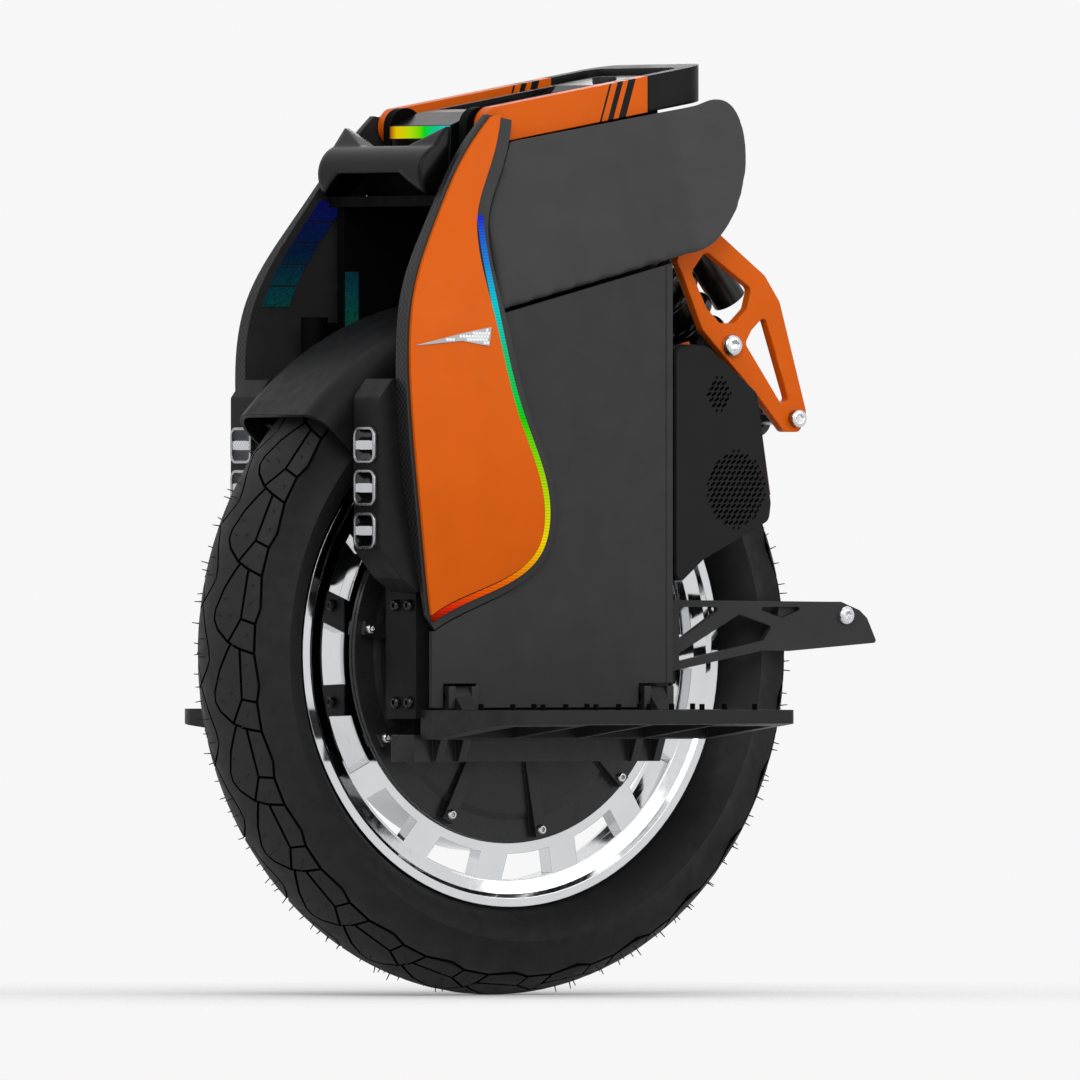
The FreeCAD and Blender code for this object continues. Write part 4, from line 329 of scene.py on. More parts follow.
def metal_look(name, tone, roughness, lines=(1, 1, 1)):
    """Bare metal, with its marks drawn out along an axis by lines."""
    return Look(name, grey(tone, 2), roughness, METAL, lines, metallic=1.0).done()


def orange_look(name, roughness, edge=PAINT.edge):
    finish = PAINT._replace(edge=edge)
    return Look(name, ORANGE, roughness, finish, highlight_color=HIGHLIGHT_ORANGE, specular=0.1)


# Place along X and width of each stripe, and the fade at its borders
STRIPES = [(-53 * MM, 2 * MM), (-61.5 * MM, 5 * MM), (-71.5 * MM, 6.5 * MM)]
STRIPE_FADE = 0.2 * MM
STRIPE_SLANT = 0.32


def handle_look():
    """Orange arms with three slanted dark stripes near their rear end."""
    look = orange_look("handle_orange", 0.36)
    look.round_edges()
    low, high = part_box("handle_arms")
    height = look.calc("SUBTRACT", look.axis("Z"), (low.z + high.z) / 2)
    along = look.calc("ADD", look.axis("X"), look.calc("MULTIPLY", height, STRIPE_SLANT))
    for place, width in STRIPES:
        look.paint(look.near(along, place, width / 2 - STRIPE_FADE, width / 2), grey(16, 1))
    return look.done()


WEAVE_PITCH = 2.4 * MM
WEAVE_DEPTH = 0.08 * MM
FRONT_FROM, FRONT_TO = 0.25, 0.45


def frame_look():
    """Dark grey borders, with a woven carbon face to the front."""
    look = Look("fairing_border", grey(46, 1), 0.42, BORDER, specular=0.22)
    front = look.ramp(look.facing("X"), FRONT_FROM, FRONT_TO)
    checks = look.weave(WEAVE_PITCH)
    look.paint(front, look.mix(checks, grey(12, 1), linear(44, 45, 47)))
    look.relief(look.calc("MULTIPLY", checks, front), WEAVE_DEPTH)
    return look.done()


COVER_LINE = 6 * MM
COVER_LINE_HALF = 0.5 * MM
COVER_LINE_FADE = 0.2 * MM


def cover_look():
    """Side panels with a fine dark line along their rear edge."""
    look = Look("side_panel", grey(50, 1), 0.5, PANEL, specular=0.18)
    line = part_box("side_covers")[0].x + COVER_LINE
    outer = COVER_LINE_HALF + COVER_LINE_FADE
    look.paint(look.near(look.axis("X"), line, COVER_LINE_HALF, outer), grey(22))
    return look.done()


PEBBLE_SIZE = 1.3 * MM
PEBBLE_DEPTH = 0.18 * MM
PEBBLE_SLANT = -0.13
PEBBLE_FROM, PEBBLE_TO = -187 * MM, -199 * MM


def pad_look():
    """Soft cover: smooth in front, pebbled and paler behind a soft slanted line."""
    look = Look("pad_cover", grey(62, 1), 0.6, PADDING, specular=0.16,
                sheen_weight=0.05, sheen_roughness=0.5)
    slant = look.calc("MULTIPLY", look.axis("Z"), PEBBLE_SLANT)
    rear = look.ramp(look.calc("ADD", look.axis("X"), slant), PEBBLE_FROM, PEBBLE_TO)
    look.paint(rear, grey(67, 1))
    cells = look.add("TexVoronoi", {"Vector": look.place, "Scale": 1 / PEBBLE_SIZE},
                     feature="SMOOTH_F1").outputs["Distance"]
    look.relief(look.calc("MULTIPLY", cells, rear), PEBBLE_DEPTH)
    return look.done()


RIB_PITCH = 2.2 * MM
RIB_DIM = 0.72
STRIP_COLORS = [
    (0.0, shaded(RED, 0.15)), (0.035, RED), (0.1, linear(245, 110, 10)), (0.2, YELLOW),
    (0.29, linear(200, 230, 10)), (0.5, GREEN), (0.66, linear(30, 210, 130)), (0.78, CYAN),
    (0.88, linear(40, 140, 230)), (1.0, BLUE),
]
BAR_COLORS = [
    (0.0, linear(150, 60, 10)), (0.12, linear(240, 200, 10)), (0.35, linear(190, 225, 10)),
    (0.6, GREEN), (0.82, linear(20, 200, 150)), (1.0, CYAN),
]


def strip_look():
    """Light strip, red at the bottom through to blue at the top."""
    look = Look("strip_light", UNLIT, 0.5, specular=0.0)
    low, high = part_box("light_strips")
    run = look.band(look.ramp(look.axis("Z"), low.z, high.z), STRIP_COLORS)
    wave = look.calc("SINE", look.calc("MULTIPLY", look.axis("Z"), TURN / RIB_PITCH))
    look.glow(look.mix(1.0, run, look.ramp(wave, -1, 1, RIB_DIM, 1.0), "MULTIPLY"), strength=0.95)
    return look.done()


def bar_look():
    """Front light bar, red to cyan from the right to the left."""
    look = Look("bar_light", UNLIT, 0.5, specular=0.0)
    low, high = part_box("front_light_bar")
    look.glow(look.band(look.ramp(look.axis("Y"), low.y, high.y), BAR_COLORS), strength=0.9)
    return look.done()


def white_lens_painted_glow_look():
    look = Look("reflector_white_painted_glow", linear(232, 234, 236), 0.2, LENS,
                coat_weight=0.6, coat_roughness=0.08)
    # Painted light: the lens glows a little, though it is no lamp.
    look.glow(linear(200, 205, 210), strength=0.25)
    return look.done()


TILE_PITCH = 1.6 * MM
TILE_DEPTH = 0.1 * MM


def lamp_glow_look():
    look = Look("lamp_emitter", linear(150, 151, 153), 0.35)
    tiles = look.weave(TILE_PITCH)
    look.glow(look.mix(tiles, linear(236, 238, 242), linear(170, 173, 178)), strength=0.45)
    look.relief(tiles, TILE_DEPTH)
    return look.done()


TAIL_PITCH = 3 * MM
TAIL_DEPTH = 0.15 * MM


def tail_look():
    look = Look("tail_lens", linear(120, 10, 10), 0.15, TAIL, coat_weight=0.7, coat_roughness=0.06)
    look.relief(look.weave(TAIL_PITCH), TAIL_DEPTH)
    return look.done()


TREAD_FROM, TREAD_TO = 0.93, 0.98
GRIT_SIZE = 0.7 * MM
GRIT_DEPTH = 0.25 * MM
GRIT_DETAIL = 4.0


def pedal_look():
    """Cast black, with a sandy grip on the tread face."""
    look = Look("pedal_cast", grey(30, 1), 0.48, CAST, specular=0.2)
    tread = look.ramp(look.facing("Z"), TREAD_FROM, TREAD_TO)
    look.paint(tread, grey(21))
    look.relief(look.calc("MULTIPLY", look.noise(GRIT_SIZE, GRIT_DETAIL), tread), GRIT_DEPTH)
    return look.done()


# Tone, roughness and, where it is not the usual one, the specular share or the lines of a slot
SATIN_SLOTS = {
    "motor_black": (36, 0.3, 0.3),
    "shock_metal": (20, 0.28, 0.3),
    "spring_steel": (14, 0.18, 0.4),
    "battery_case": (30, 0.6),
    "black_panel": (50, 0.5),
    "speaker_black": (4, 0.8, 0.05),
}
METAL_SLOTS = {
    "steel": (150, 0.3, (1, 6, 1)),
    "bolt_steel": (205, 0.22),
    "iron_core": (70, 0.5, (1, 0.2, 1)),
    "winding_copper": (120, 0.35),
}
looks = {
    **{slot: satin_look(slot, *values) for slot, values in SATIN_SLOTS.items()},
    **{slot: metal_look(slot, *values) for slot, values in METAL_SLOTS.items()},
    "tyre_rubber": rubber_look(),
    "polished_rim": chrome_look(),
    "orange_metal": orange_look("orange_metal", 0.34, edge=2.2).done(),
    "orange_plastic": orange_look("orange_plastic", 0.4).done(),
    "black_gloss": gloss_look("black_gloss", 11),
    "pad_cover": pad_look(),
    "light_lens": white_lens_painted_glow_look(),
    "tail_lens": tail_look(),
    "pedal_metal": pedal_look(),
}

# Nodes inside the body, which get a near-black as painted shade of the interior.
SHADED_INNER_NODES = ("side_frames", "top_deck", "controller_box", "battery_packs", "guide_tubes",
               "handle_pins", "pedal_pins", "pedal_studs_left", "pedal_studs_right")
POD_NODES = ("lamp_pods", "speaker_pods", "front_fender", "carriage_plates")


def dress_nodes():
    """Every CAD node gets its material; a few have one of their own."""
    special = {
        "fairing_frames": frame_look(),
        "handle_arms": handle_look(),
        "light_strips": strip_look(),
        "front_light_bar": bar_look(),
        "side_covers": cover_look(),
        "mudguard_head": satin_look("guard_grey", 58, 0.5),
        "mudguard_trusses": satin_look("truss_grey", 48, 0.5),
        "reflectors": satin_look("reflector_base", 188, 0.4),
        "handle_loop": gloss_look("loop_gloss", 9, 0.45, edge=4),
        "front_brow": gloss_look("brow_gloss", 7, edge=5),
    }
    # Painted shade: the interior nodes get a near-black with almost no gloss.
    inner = satin_look("inner_painted_shade", 7, 0.6, specular=0.03)
    pod = satin_look("pod_black", 24, 0.45, specular=0.12)
    special.update({**dict.fromkeys(SHADED_INNER_NODES, inner), **dict.fromkeys(POD_NODES, pod)})
    for name, node in nodes.items():
        node.data.materials.clear()
        node.data.materials.append(special.get(name, looks[slots[name]]))
        smooth(node.data)


# Meshes

def smooth(mesh):
    mesh.polygons.foreach_set("use_smooth", [True] * len(mesh.polygons))


def new_piece(name, mesh, body, materials, replaces=()):
    """A mesh that rides on a CAD body, smooth but for its sharp edges."""
    smooth(mesh)
    mesh.set_sharp_from_angle(angle=SMOOTH_ANGLE)
    for material in materials if isinstance(materials, list) else [materials]:
        mesh.materials.append(material)
    piece = bpy.data.objects.new(name, mesh)
    scene.collection.objects.link(piece)
    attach(piece, body)
    if replaces:
        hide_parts(*replaces)
    return piece


def mesh_of(bm, name="shape"):
    bmesh.ops.recalc_face_normals(bm, faces=bm.faces)
    mesh = bpy.data.meshes.new(name)
    bm.to_mesh(mesh)
    bm.free()
    return mesh


def mesh_from(points, faces):
    bm = bmesh.new()
    verts = [bm.verts.new(point) for point in points]
    for face in faces:
        bm.faces.new([verts[index] for index in face])
    return mesh_of(bm)


def tube(rings):
    """A skin over rings of equally many points, with a cap at both ends."""
    count = len(rings[0])
    faces = [(ring * count + step, ring * count + (step + 1) % count,
              (ring + 1) * count + (step + 1) % count, (ring + 1) * count + step)
             for ring in range(len(rings) - 1) for step in range(count)]
    faces += [range(count), range((len(rings) - 1) * count, len(rings) * count)]
    return mesh_from([point for ring in rings for point in ring], faces)


def joined(meshes):
    bm = bmesh.new()
    for mesh in meshes:
        bm.from_mesh(mesh)
        bpy.data.meshes.remove(mesh)
    return mesh_of(bm)


def welded(node):
    bm = bmesh.new()
    bm.from_mesh(nodes[node].data)
    bmesh.ops.remove_doubles(bm, verts=bm.verts, dist=WELD)
    return bm


def surface_tree(node):
    """A CAD node's surface, to cast rays at."""
    bm = welded(node)
    tree = BVHTree.FromBMesh(bm)
    bm.free()
    return tree


def islands(node):
    """The separate solids of a CAD node, each as an array of its points."""
    bm = welded(node)
    seen = set()
    found = []
    for vert in bm.verts:
        if vert in seen:
            continue
        seen.add(vert)
        stack = [vert]
        points = []
        while stack:
            here = stack.pop()
            points.append(here.co[:])
            others = [edge.other_vert(here) for edge in here.link_edges]
            fresh = [other for other in others if other not in seen]
            seen.update(fresh)
            stack += fresh
        found.append(np.array(points))
    bm.free()
    return sorted(found, key=lambda points: tuple(np.round(points.mean(0), 4)))


def flattened(points, way):
    """Points brought to the plane through the origin that is square to a direction."""
    way = np.array(way)
    return points - np.outer(points @ way, way)


NET_TOLERANCE = 1e-7
NET_OVER_HULL, NET_INSIDE_EDGES = 0, 1


def flat_net(points, edges, reach):
    """Points and triangles of a net through flat points that keeps the edges."""
    net = delaunay_2d_cdt([Vector(point) for point in points], edges, [], reach, NET_TOLERANCE)
    return net[0], net[2]


def used_by(faces):
    return sorted({index for face in faces for index in face})


def plate_with_holes(outline, holes, thickness, bevel=0.0):
    """A flat plate in its own XY plane, from z = 0 up, with holes right through it."""
    curve = bpy.data.curves.new("plate", "CURVE")
    curve.dimensions = "2D"
    curve.fill_mode = "BOTH"
    curve.extrude = thickness / 2 - bevel
    curve.bevel_depth = bevel
    curve.bevel_resolution = 1
    for ring in [outline, *holes]:
        spline = curve.splines.new("POLY")
        spline.points.add(len(ring) - 1)
        spline.use_cyclic_u = True
        for point, (x, y) in zip(spline.points, ring):
            point.co = (x, y, 0, 1)
    holder = bpy.data.objects.new("plate", curve)
    scene.collection.objects.link(holder)
    bpy.context.view_layer.update()
    shape = holder.evaluated_get(bpy.context.evaluated_depsgraph_get())
    mesh = bpy.data.meshes.new_from_object(shape)
    bpy.data.objects.remove(holder)
    bpy.data.curves.remove(curve)
    mesh.transform(Matrix.Translation((0, 0, thickness / 2)))
    return mesh


CORNER_STEPS = 6


def rounded_box_ring(half_width, half_height, radius):
    ring = []
    for corner, (sx, sy) in enumerate(((1, 1), (-1, 1), (-1, -1), (1, -1))):
        for step in range(CORNER_STEPS + 1):
            angle = math.pi / 2 * (corner + step / CORNER_STEPS)
            ring.append((sx * (half_width - radius) + radius * math.cos(angle),
                         sy * (half_height - radius) + radius * math.sin(angle)))
    return ring


def basis(origin, across, up, out):
    """The transform that lays a plate's own axes on those directions."""
    matrix = Matrix((across, up, out)).transposed().to_4x4()
    matrix.translation = origin
    return matrix


# Tyre

TYRE_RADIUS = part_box("tyre")[1].z - AXLE.z
TYRE_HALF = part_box("tyre")[1].y
TREAD_MOTIFS = 26
TREAD_STEPS = 12
TREAD_ROWS = 18
TREAD_EDGE = 50 * MM
TREAD_WELD = 0.02 * MM
CROWN_HALF = 37 * MM
CROWN_DROP = 14 * MM
WIDEST_DROP = 40 * MM
SHOULDER_HOLLOW_SHARE = 0.08
SHOULDER_STEP = 4 * MM
SHOULDER_STEPS = 3
BEAD_RADIUS = 176.3 * MM
BEAD_LIP = 188.8 * MM
BEAD_OUT = 19.7 * MM
BEAD_IN = 12 * MM
SIDEWALL = 7.5 * MM
WALL_BULGE_SHARE = 0.13
WALL_STEPS = 12
LINER_STEPS = 6
LINER_DROP = 24 * MM
GROOVE_WIDTH = 2.1 * MM
GROOVE_DEPTH = 2.0 * MM
GROOVE_FLOOR_SHARE = 0.45
GROOVE_CLEAR = GROOVE_WIDTH * 1.2
NEIGHBOUR_SHARE = 0.1
# Groove lines of one motif: share of its length, and millimetres across from the crown
GROOVE_LINES = [
    [(0.0, 39.8), (0.41, 43.0), (0.62, 39.8), (1.0, 39.8)],
    [(1.0, 39.8), (0.93, 27.0), (0.856, 18.0), (0.7, 7.0), (0.58, 2.4), (0.46, 2.8), (0.2, 9.5),
     (-0.113, 20.0)],
    [(-0.05, 28.5), (0.564, 28.0)],
    [(0.564, 28.0), (0.856, 18.0)],
    [(0.564, 28.0), (0.62, 39.8)],
]
# The left and right halves of the tread, half a motif apart
TREAD_HALVES = ((1, 0.0), (-1, 0.5))
HAIR_LENGTH = 5.4 * MM
HAIR_RADIUS = 0.6 * MM
HAIR_ROOT = 0.2 * MM
HAIR_SEED = 4
HAIR_SIDES = 3
HAIR_TAPER_SHARE = 0.6
HAIR_LENGTH_SHARES = (0.6, 1.1)
HAIR_LEAN = 0.25
HAIR_CLEAR = 1.5 * MM
# Hairs of one motif, placed as the grooves are, and how far each strays along and across
HAIR_PLACES = [(0.32, 12), (0.55, 10), (0.5, 21), (0.12, 34), (0.35, 35), (0.76, 33), (0.88, 26),
               (0.3, 58)]
HAIR_STRAY = (0.03, 1.5)


def arc_points(start, end, share, count):
    """Points from start to end, bulging to the left of their way by a share of its length."""
    start, end = np.array(start), np.array(end)
    chord = end - start
    bulge = np.array([-chord[1], chord[0]]) * share
    places = [step / count for step in range(count + 1)]
    return [start + chord * place + bulge * 4 * place * (1 - place) for place in places]


def crown_point(across, depth=0.0):
    """Radius, place and direction on the tyre's section, a distance across from the crown line.
    Depth goes against the direction, which is outward on the crown and inward on the shoulder."""
    bow = (CROWN_HALF ** 2 + CROWN_DROP ** 2) / (2 * CROWN_DROP)
    run = bow * math.asin(CROWN_HALF / bow)
    side = 1 if across >= 0 else -1
    distance = abs(across)
    if distance <= run:
        up, out = math.cos(distance / bow), math.sin(distance / bow)
        radius = TYRE_RADIUS - bow + (bow - depth) * up
        return radius, side * (bow - depth) * out, up, side * out
    start = np.array((TYRE_RADIUS - CROWN_DROP, CROWN_HALF))
    chord = np.array((TYRE_RADIUS - WIDEST_DROP, TYRE_HALF)) - start
    length = np.linalg.norm(chord)
    share = min(1.0, (distance - run) / length)
    inward = np.array((-chord[1], chord[0])) / length
    hollow = SHOULDER_HOLLOW_SHARE * 4 * share * (1 - share) * length
    place = start + chord * share + inward * (hollow - depth)
    return place[0], side * place[1], inward[0], side * inward[1]


def on_wheel(angle, radius, across):
    return (radius * math.cos(angle), across, AXLE.z + radius * math.sin(angle))


def groove_segments():
    """Groove lines of one motif and its neighbours on both halves, in metres along and across."""
    pitch = TURN * TYRE_RADIUS / TREAD_MOTIFS
    segments = []
    for side, shift in TREAD_HALVES:
        for turn in (-2, -1, 0, 1):
            for line in GROOVE_LINES:
                points = [((along + shift + turn) * pitch, side * across * MM)
                          for along, across in line]
                segments += list(zip(points, points[1:]))
    return pitch, np.array(segments)


def distance_to(segments, point):
    start = segments[:, 0]
    way = segments[:, 1] - start
    share = np.clip(((point - start) * way).sum(1) / (way * way).sum(1), 0, 1)
    return np.linalg.norm(start + way * share[:, None] - point, axis=1).min()


def closed_edges(count):
    return [(index, (index + 1) % count) for index in range(count)]


def tread_patch():
    """One motif of the tread as flat points, depths and faces."""
    pitch, segments = groove_segments()
    along = [pitch * step / TREAD_STEPS for step in range(TREAD_STEPS + 1)]
    over = [TREAD_EDGE * (2 * row / TREAD_ROWS - 1) for row in range(TREAD_ROWS + 1)]
    points = [(x, over[0]) for x in along] + [(pitch, y) for y in over[1:]]
    points += [(x, over[-1]) for x in along[-2::-1]] + [(0, y) for y in over[-2:0:-1]]
    edges = closed_edges(len(points))
    first, last = -pitch * NEIGHBOUR_SHARE, pitch * (1 + NEIGHBOUR_SHARE)
    for start, end in segments:
        if max(start[0], end[0]) < first or min(start[0], end[0]) > last:
            continue
        way = end - start
        normal = np.array((-way[1], way[0])) / np.linalg.norm(way)
        for offset in (1, GROOVE_FLOOR_SHARE, -GROOVE_FLOOR_SHARE, -1):
            shift = normal * offset * GROOVE_WIDTH / 2
            edges.append((len(points), len(points) + 1))
            points += [start + shift, end + shift]
    points += [(x, y) for x in along[1:-1] for y in over[1:-1]
               if distance_to(segments, np.array((x, y))) > GROOVE_CLEAR]
    flat, faces = flat_net(points, edges, NET_OVER_HULL)
    kept = []
    for face in faces:
        middle = sum((flat[index] for index in face), Vector((0, 0))) / len(face)
        if 0 < middle.x < pitch and abs(middle.y) < TREAD_EDGE:
            kept.append(face)
    slope = GROOVE_WIDTH / 2 * (1 - GROOVE_FLOOR_SHARE)
    depths = []
    for point in flat:
        inside = (GROOVE_WIDTH / 2 - distance_to(segments, np.array(point))) / slope
        depths.append(GROOVE_DEPTH * min(1.0, max(0.0, inside)))
    return pitch, flat, depths, kept


def sidewall_section():
    """The tyre's section from the tread's left edge round the inside to its right edge."""
    widest = TYRE_RADIUS - WIDEST_DROP
    outer = [crown_point(TREAD_EDGE + step * SHOULDER_STEP)[:2]
             for step in range(SHOULDER_STEPS + 1)]
    wall = arc_points((widest, TYRE_HALF), (BEAD_LIP, BEAD_OUT), -WALL_BULGE_SHARE, WALL_STEPS)
    liner = arc_points((BEAD_LIP, BEAD_IN), (widest, TYRE_HALF - SIDEWALL), WALL_BULGE_SHARE,
                       LINER_STEPS)
    left = [*outer, *wall, (BEAD_RADIUS, BEAD_OUT), (BEAD_RADIUS, BEAD_IN), *liner,
            (TYRE_RADIUS - LINER_DROP, CROWN_HALF - SIDEWALL)]
    return left + [(radius, -across) for radius, across in reversed(left)]


def make_tyre():
    """The tread's motif repeated round the wheel, with its grooves, on a turned section."""
    pitch, flat, depths, faces = tread_patch()
    used = used_by(faces)
    bm = bmesh.new()
    for motif in range(TREAD_MOTIFS):
        verts = {}
        for index in used:
            radius, across, _, _ = crown_point(flat[index].y, depths[index])
            angle = TURN * (motif + flat[index].x / pitch) / TREAD_MOTIFS
            verts[index] = bm.verts.new(on_wheel(-angle, radius, across))
        for face in faces:
            made = bm.faces.new([verts[index] for index in face])
            made.material_index = int(max(depths[index] for index in face) > GROOVE_DEPTH / 2)
    section = sidewall_section()
    count = TREAD_MOTIFS * TREAD_STEPS
    loops = [[bm.verts.new(on_wheel(-TURN * step / count, radius, across))
              for radius, across in section] for step in range(count)]
    for loop, after in zip(loops, loops[1:] + loops[:1]):
        for index in range(len(section) - 1):
            bm.faces.new((loop[index], loop[index + 1], after[index + 1], after[index]))
    bmesh.ops.remove_doubles(bm, verts=bm.verts, dist=TREAD_WELD)
    # The second rubber, for the groove faces, is painted shade.
    rubbers = [looks["tyre_rubber"], groove_shade_look()]
    new_piece("tyre_tread", mesh_of(bm), "wheel", rubbers, ["tyre"])


def add_hair(bm, root, out, tip):
    aside = out.orthogonal().normalized()
    other = out.cross(aside)
    turns = [TURN * side / HAIR_SIDES for side in range(HAIR_SIDES)]
    base = [bm.verts.new(root + (aside * math.cos(turn) + other * math.sin(turn)) * HAIR_RADIUS)
            for turn in turns]
    end = [bm.verts.new(tip + (vert.co - root) * HAIR_TAPER_SHARE) for vert in base]
    for index, following in closed_edges(HAIR_SIDES):
        bm.faces.new((base[index], base[following], end[following], end[index]))
    bm.faces.new(end)
    bm.faces.new(base[::-1])


def make_tyre_hairs():
    """Short moulding hairs on the tread blocks, none where the tyre stands."""
    rng = random.Random(HAIR_SEED)
    bm = bmesh.new()
    for motif in range(TREAD_MOTIFS):
        for side, shift in TREAD_HALVES:
            for along, across in HAIR_PLACES:
                along += rng.uniform(-HAIR_STRAY[0], HAIR_STRAY[0])
                across += rng.uniform(-HAIR_STRAY[1], HAIR_STRAY[1])
                angle = -TURN * (motif + shift + along) / TREAD_MOTIFS
                radius, place, up, aside = crown_point(side * across * MM, HAIR_ROOT)
                root = Vector(on_wheel(angle, radius, place))
                out = Vector((up * math.cos(angle), aside, up * math.sin(angle)))
                lean = Vector([rng.uniform(-HAIR_LEAN, HAIR_LEAN) for _ in range(3)])
                length = HAIR_LENGTH * rng.uniform(*HAIR_LENGTH_SHARES)
                tip = root + (out + lean).normalized() * length
                if tip.z >= HAIR_CLEAR:
                    add_hair(bm, root, out, tip)
    new_piece("tyre_hairs", mesh_of(bm), "wheel", looks["tyre_rubber"])


# Bolts

HEAD_STEPS = 24
# Shares of the head's radius and height, from its foot to the socket's rim
HEAD_RINGS = [(1.0, 0.0), (1.0, 0.35), (0.95, 0.62), (0.84, 0.86), (0.7, 1.0)]
# Shares of the socket's radius and the head's height, from its rim to its floor
SOCKET_RINGS = [(1.08, 1.0), (1.0, 0.93), (1.0, 0.2)]
SOCKET_SHARE = 0.48
# Parts of a head's height in which its centre and its radius are measured
HEAD_TOP_SHARE = 0.5
HEAD_FOOT_SHARE = 1.05


def socket_head(radius, height):
    """A button head with a hexagon socket, standing on z = 0."""
    turns = [TURN * step / HEAD_STEPS for step in range(HEAD_STEPS)]
    flats = [math.cos(SIXTH / 2) / math.cos(turn % SIXTH - SIXTH / 2) for turn in turns]
    reaches = [([radius * out] * HEAD_STEPS, up) for out, up in HEAD_RINGS]
    reaches += [([radius * SOCKET_SHARE * out * flat for flat in flats], up)
                for out, up in SOCKET_RINGS]
    return tube([[(reach * math.cos(turn), reach * math.sin(turn), height * up)
                  for reach, turn in zip(ring, turns)] for ring, up in reaches])


def make_bolts(node, body, axis, head, material, kept=False):
    """Socket heads over a node's plain ones; the outermost part of each solid is its head."""
    meshes = []
    for points in islands(node):
        middle = Vector((points.min(0) + points.max(0)) / 2)
        outward = axis if middle.dot(axis) >= 0 else -axis
        reach = points @ np.array(outward)
        through = reach.max() > 0 > reach.min()
        for way in (outward, -outward) if through else (outward,):
            reach = points @ np.array(way)
            top = reach.max()
            cap = flattened(points[reach > top - head * HEAD_TOP_SHARE], way)
            centre = (cap.min(0) + cap.max(0)) / 2
            side = flattened(points[reach > top - head * HEAD_FOOT_SHARE], way) - centre
            seat = Vector(centre) + way * (top - (0 if kept else head))
            across = way.orthogonal().normalized()
            mesh = socket_head(np.linalg.norm(side, axis=1).max(), head)
            mesh.transform(basis(seat, across, way.cross(across), way))
            meshes.append(mesh)
    replaces = [] if kept else [node]
    new_piece(node + "_heads", joined(meshes), body, material, replaces)


# Soft pads

PAD_MARGIN = 0.8 * MM
PAD_STEP = 5 * MM
PAD_CLEAR = PAD_STEP * 0.6
PAD_EDGE = 3 * MM
PAD_CORNER = math.radians(20)
PAD_CAP = 5 * MM
PAD_PRESSURE = 4.0
PAD_FRAMES = 20
PAD_HELD = "held"
LEAST_MOVE = 1e-9
LIP_HALF = 7 * MM
LIP_THICK = 3 * MM
LIP_DEPTH = 2 * MM
LIP_DOWN = -0.9


def swell(piece):
    """Blows the pad up as cloth and lets no point move further than the cap."""
    start = np.array([vert.co[:] for vert in piece.data.vertices])
    cloth = piece.modifiers.new("cloth", "CLOTH")
    cloth.settings.use_pressure = True
    cloth.settings.uniform_pressure_force = PAD_PRESSURE
    cloth.settings.effector_weights.gravity = 0
    cloth.settings.vertex_group_mass = PAD_HELD
    scene.frame_start, scene.frame_end = 1, PAD_FRAMES
    for step in range(1, PAD_FRAMES + 1):
        scene.frame_set(step)
    shape = piece.evaluated_get(bpy.context.evaluated_depsgraph_get()).data
    move = np.array([vert.co[:] for vert in shape.vertices]) - start
    piece.modifiers.remove(cloth)
    length = np.linalg.norm(move, axis=1, keepdims=True)
    move *= np.minimum(1.0, PAD_CAP / np.maximum(length, LEAST_MOVE))
    piece.data.vertices.foreach_set("co", (start + move).ravel())
    scene.frame_set(1)


def even_ring(ring):
    """A closed line with points a step apart, its corners kept."""
    kept = []
    for index, point in enumerate(ring):
        here = np.array(point)
        back = here - np.array(ring[index - 1])
        ahead = np.array(ring[(index + 1) % len(ring)]) - here
        bend = math.atan2(ahead[1], ahead[0]) - math.atan2(back[1], back[0])
        corner = abs(math.remainder(bend, TURN)) > PAD_CORNER
        if corner or not kept or np.linalg.norm(here - kept[-1]) > PAD_STEP:
            kept.append(here)
    even = []
    for here, there in zip(kept, kept[1:] + kept[:1]):
        count = max(1, round(np.linalg.norm(there - here) / PAD_STEP))
        even += [tuple(here + (there - here) * step / count) for step in range(count)]
    return even


def pad_mesh(node, hand):
    """Cover of a pad: its outline filled with an even net, laid on the solid's face and back."""
    tree = surface_tree(node)
    back = -LEFT * hand
    outline, across, up, level = face_outline(node, back, hand, PAD_MARGIN)
    ring = even_ring(outline)
    edges = np.array(list(zip(ring, ring[1:] + ring[:1])))
    low, high = np.array(ring).min(0), np.array(ring).max(0)
    points = ring + [(x, y) for x in np.arange(low[0], high[0], PAD_STEP)
                     for y in np.arange(low[1], high[1], PAD_STEP)
                     if distance_to(edges, np.array((x, y))) > PAD_CLEAR]
    flat, faces = flat_net(points, closed_edges(len(ring)), NET_INSIDE_EDGES)
    bm = bmesh.new()
    fronts, backs = {}, {}
    for index in used_by(faces):
        place = across * flat[index].x + up * flat[index].y + back * level
        hit = tree.ray_cast(place - back, back)[0] or place
        thick = max(PAD_EDGE, (hit - place).dot(-back) - PAD_MARGIN)
        fronts[index] = bm.verts.new(place - back * thick)
        backs[index] = bm.verts.new(place - back * PAD_MARGIN)
    for face in faces:
        bm.faces.new([fronts[index] for index in face])
        bm.faces.new([backs[index] for index in reversed(face)])
    behind = {vert: backs[index] for index, vert in fronts.items()}
    rim = [edge for edge in bm.edges if edge.is_boundary and edge.verts[0] in behind]
    for first, second in [edge.verts for edge in rim]:
        bm.faces.new((first, second, behind[second], behind[first]))
    bm.verts.index_update()
    held = {vert.index for vert in backs.values()}
    held |= {vert.index for edge in rim for vert in edge.verts}
    return mesh_of(bm, node + "_cover"), sorted(held)


def make_pad(side, hand):
    node = "leg_pad_" + side
    mesh, held = pad_mesh(node, hand)
    piece = new_piece(node + "_cover", mesh, "body", looks["pad_cover"], [node])
    piece.vertex_groups.new(name=PAD_HELD).add(held, 1.0, "REPLACE")
    swell(piece)
    finer = piece.modifiers.new("subdivision", "SUBSURF")
    finer.levels = finer.render_levels = 1


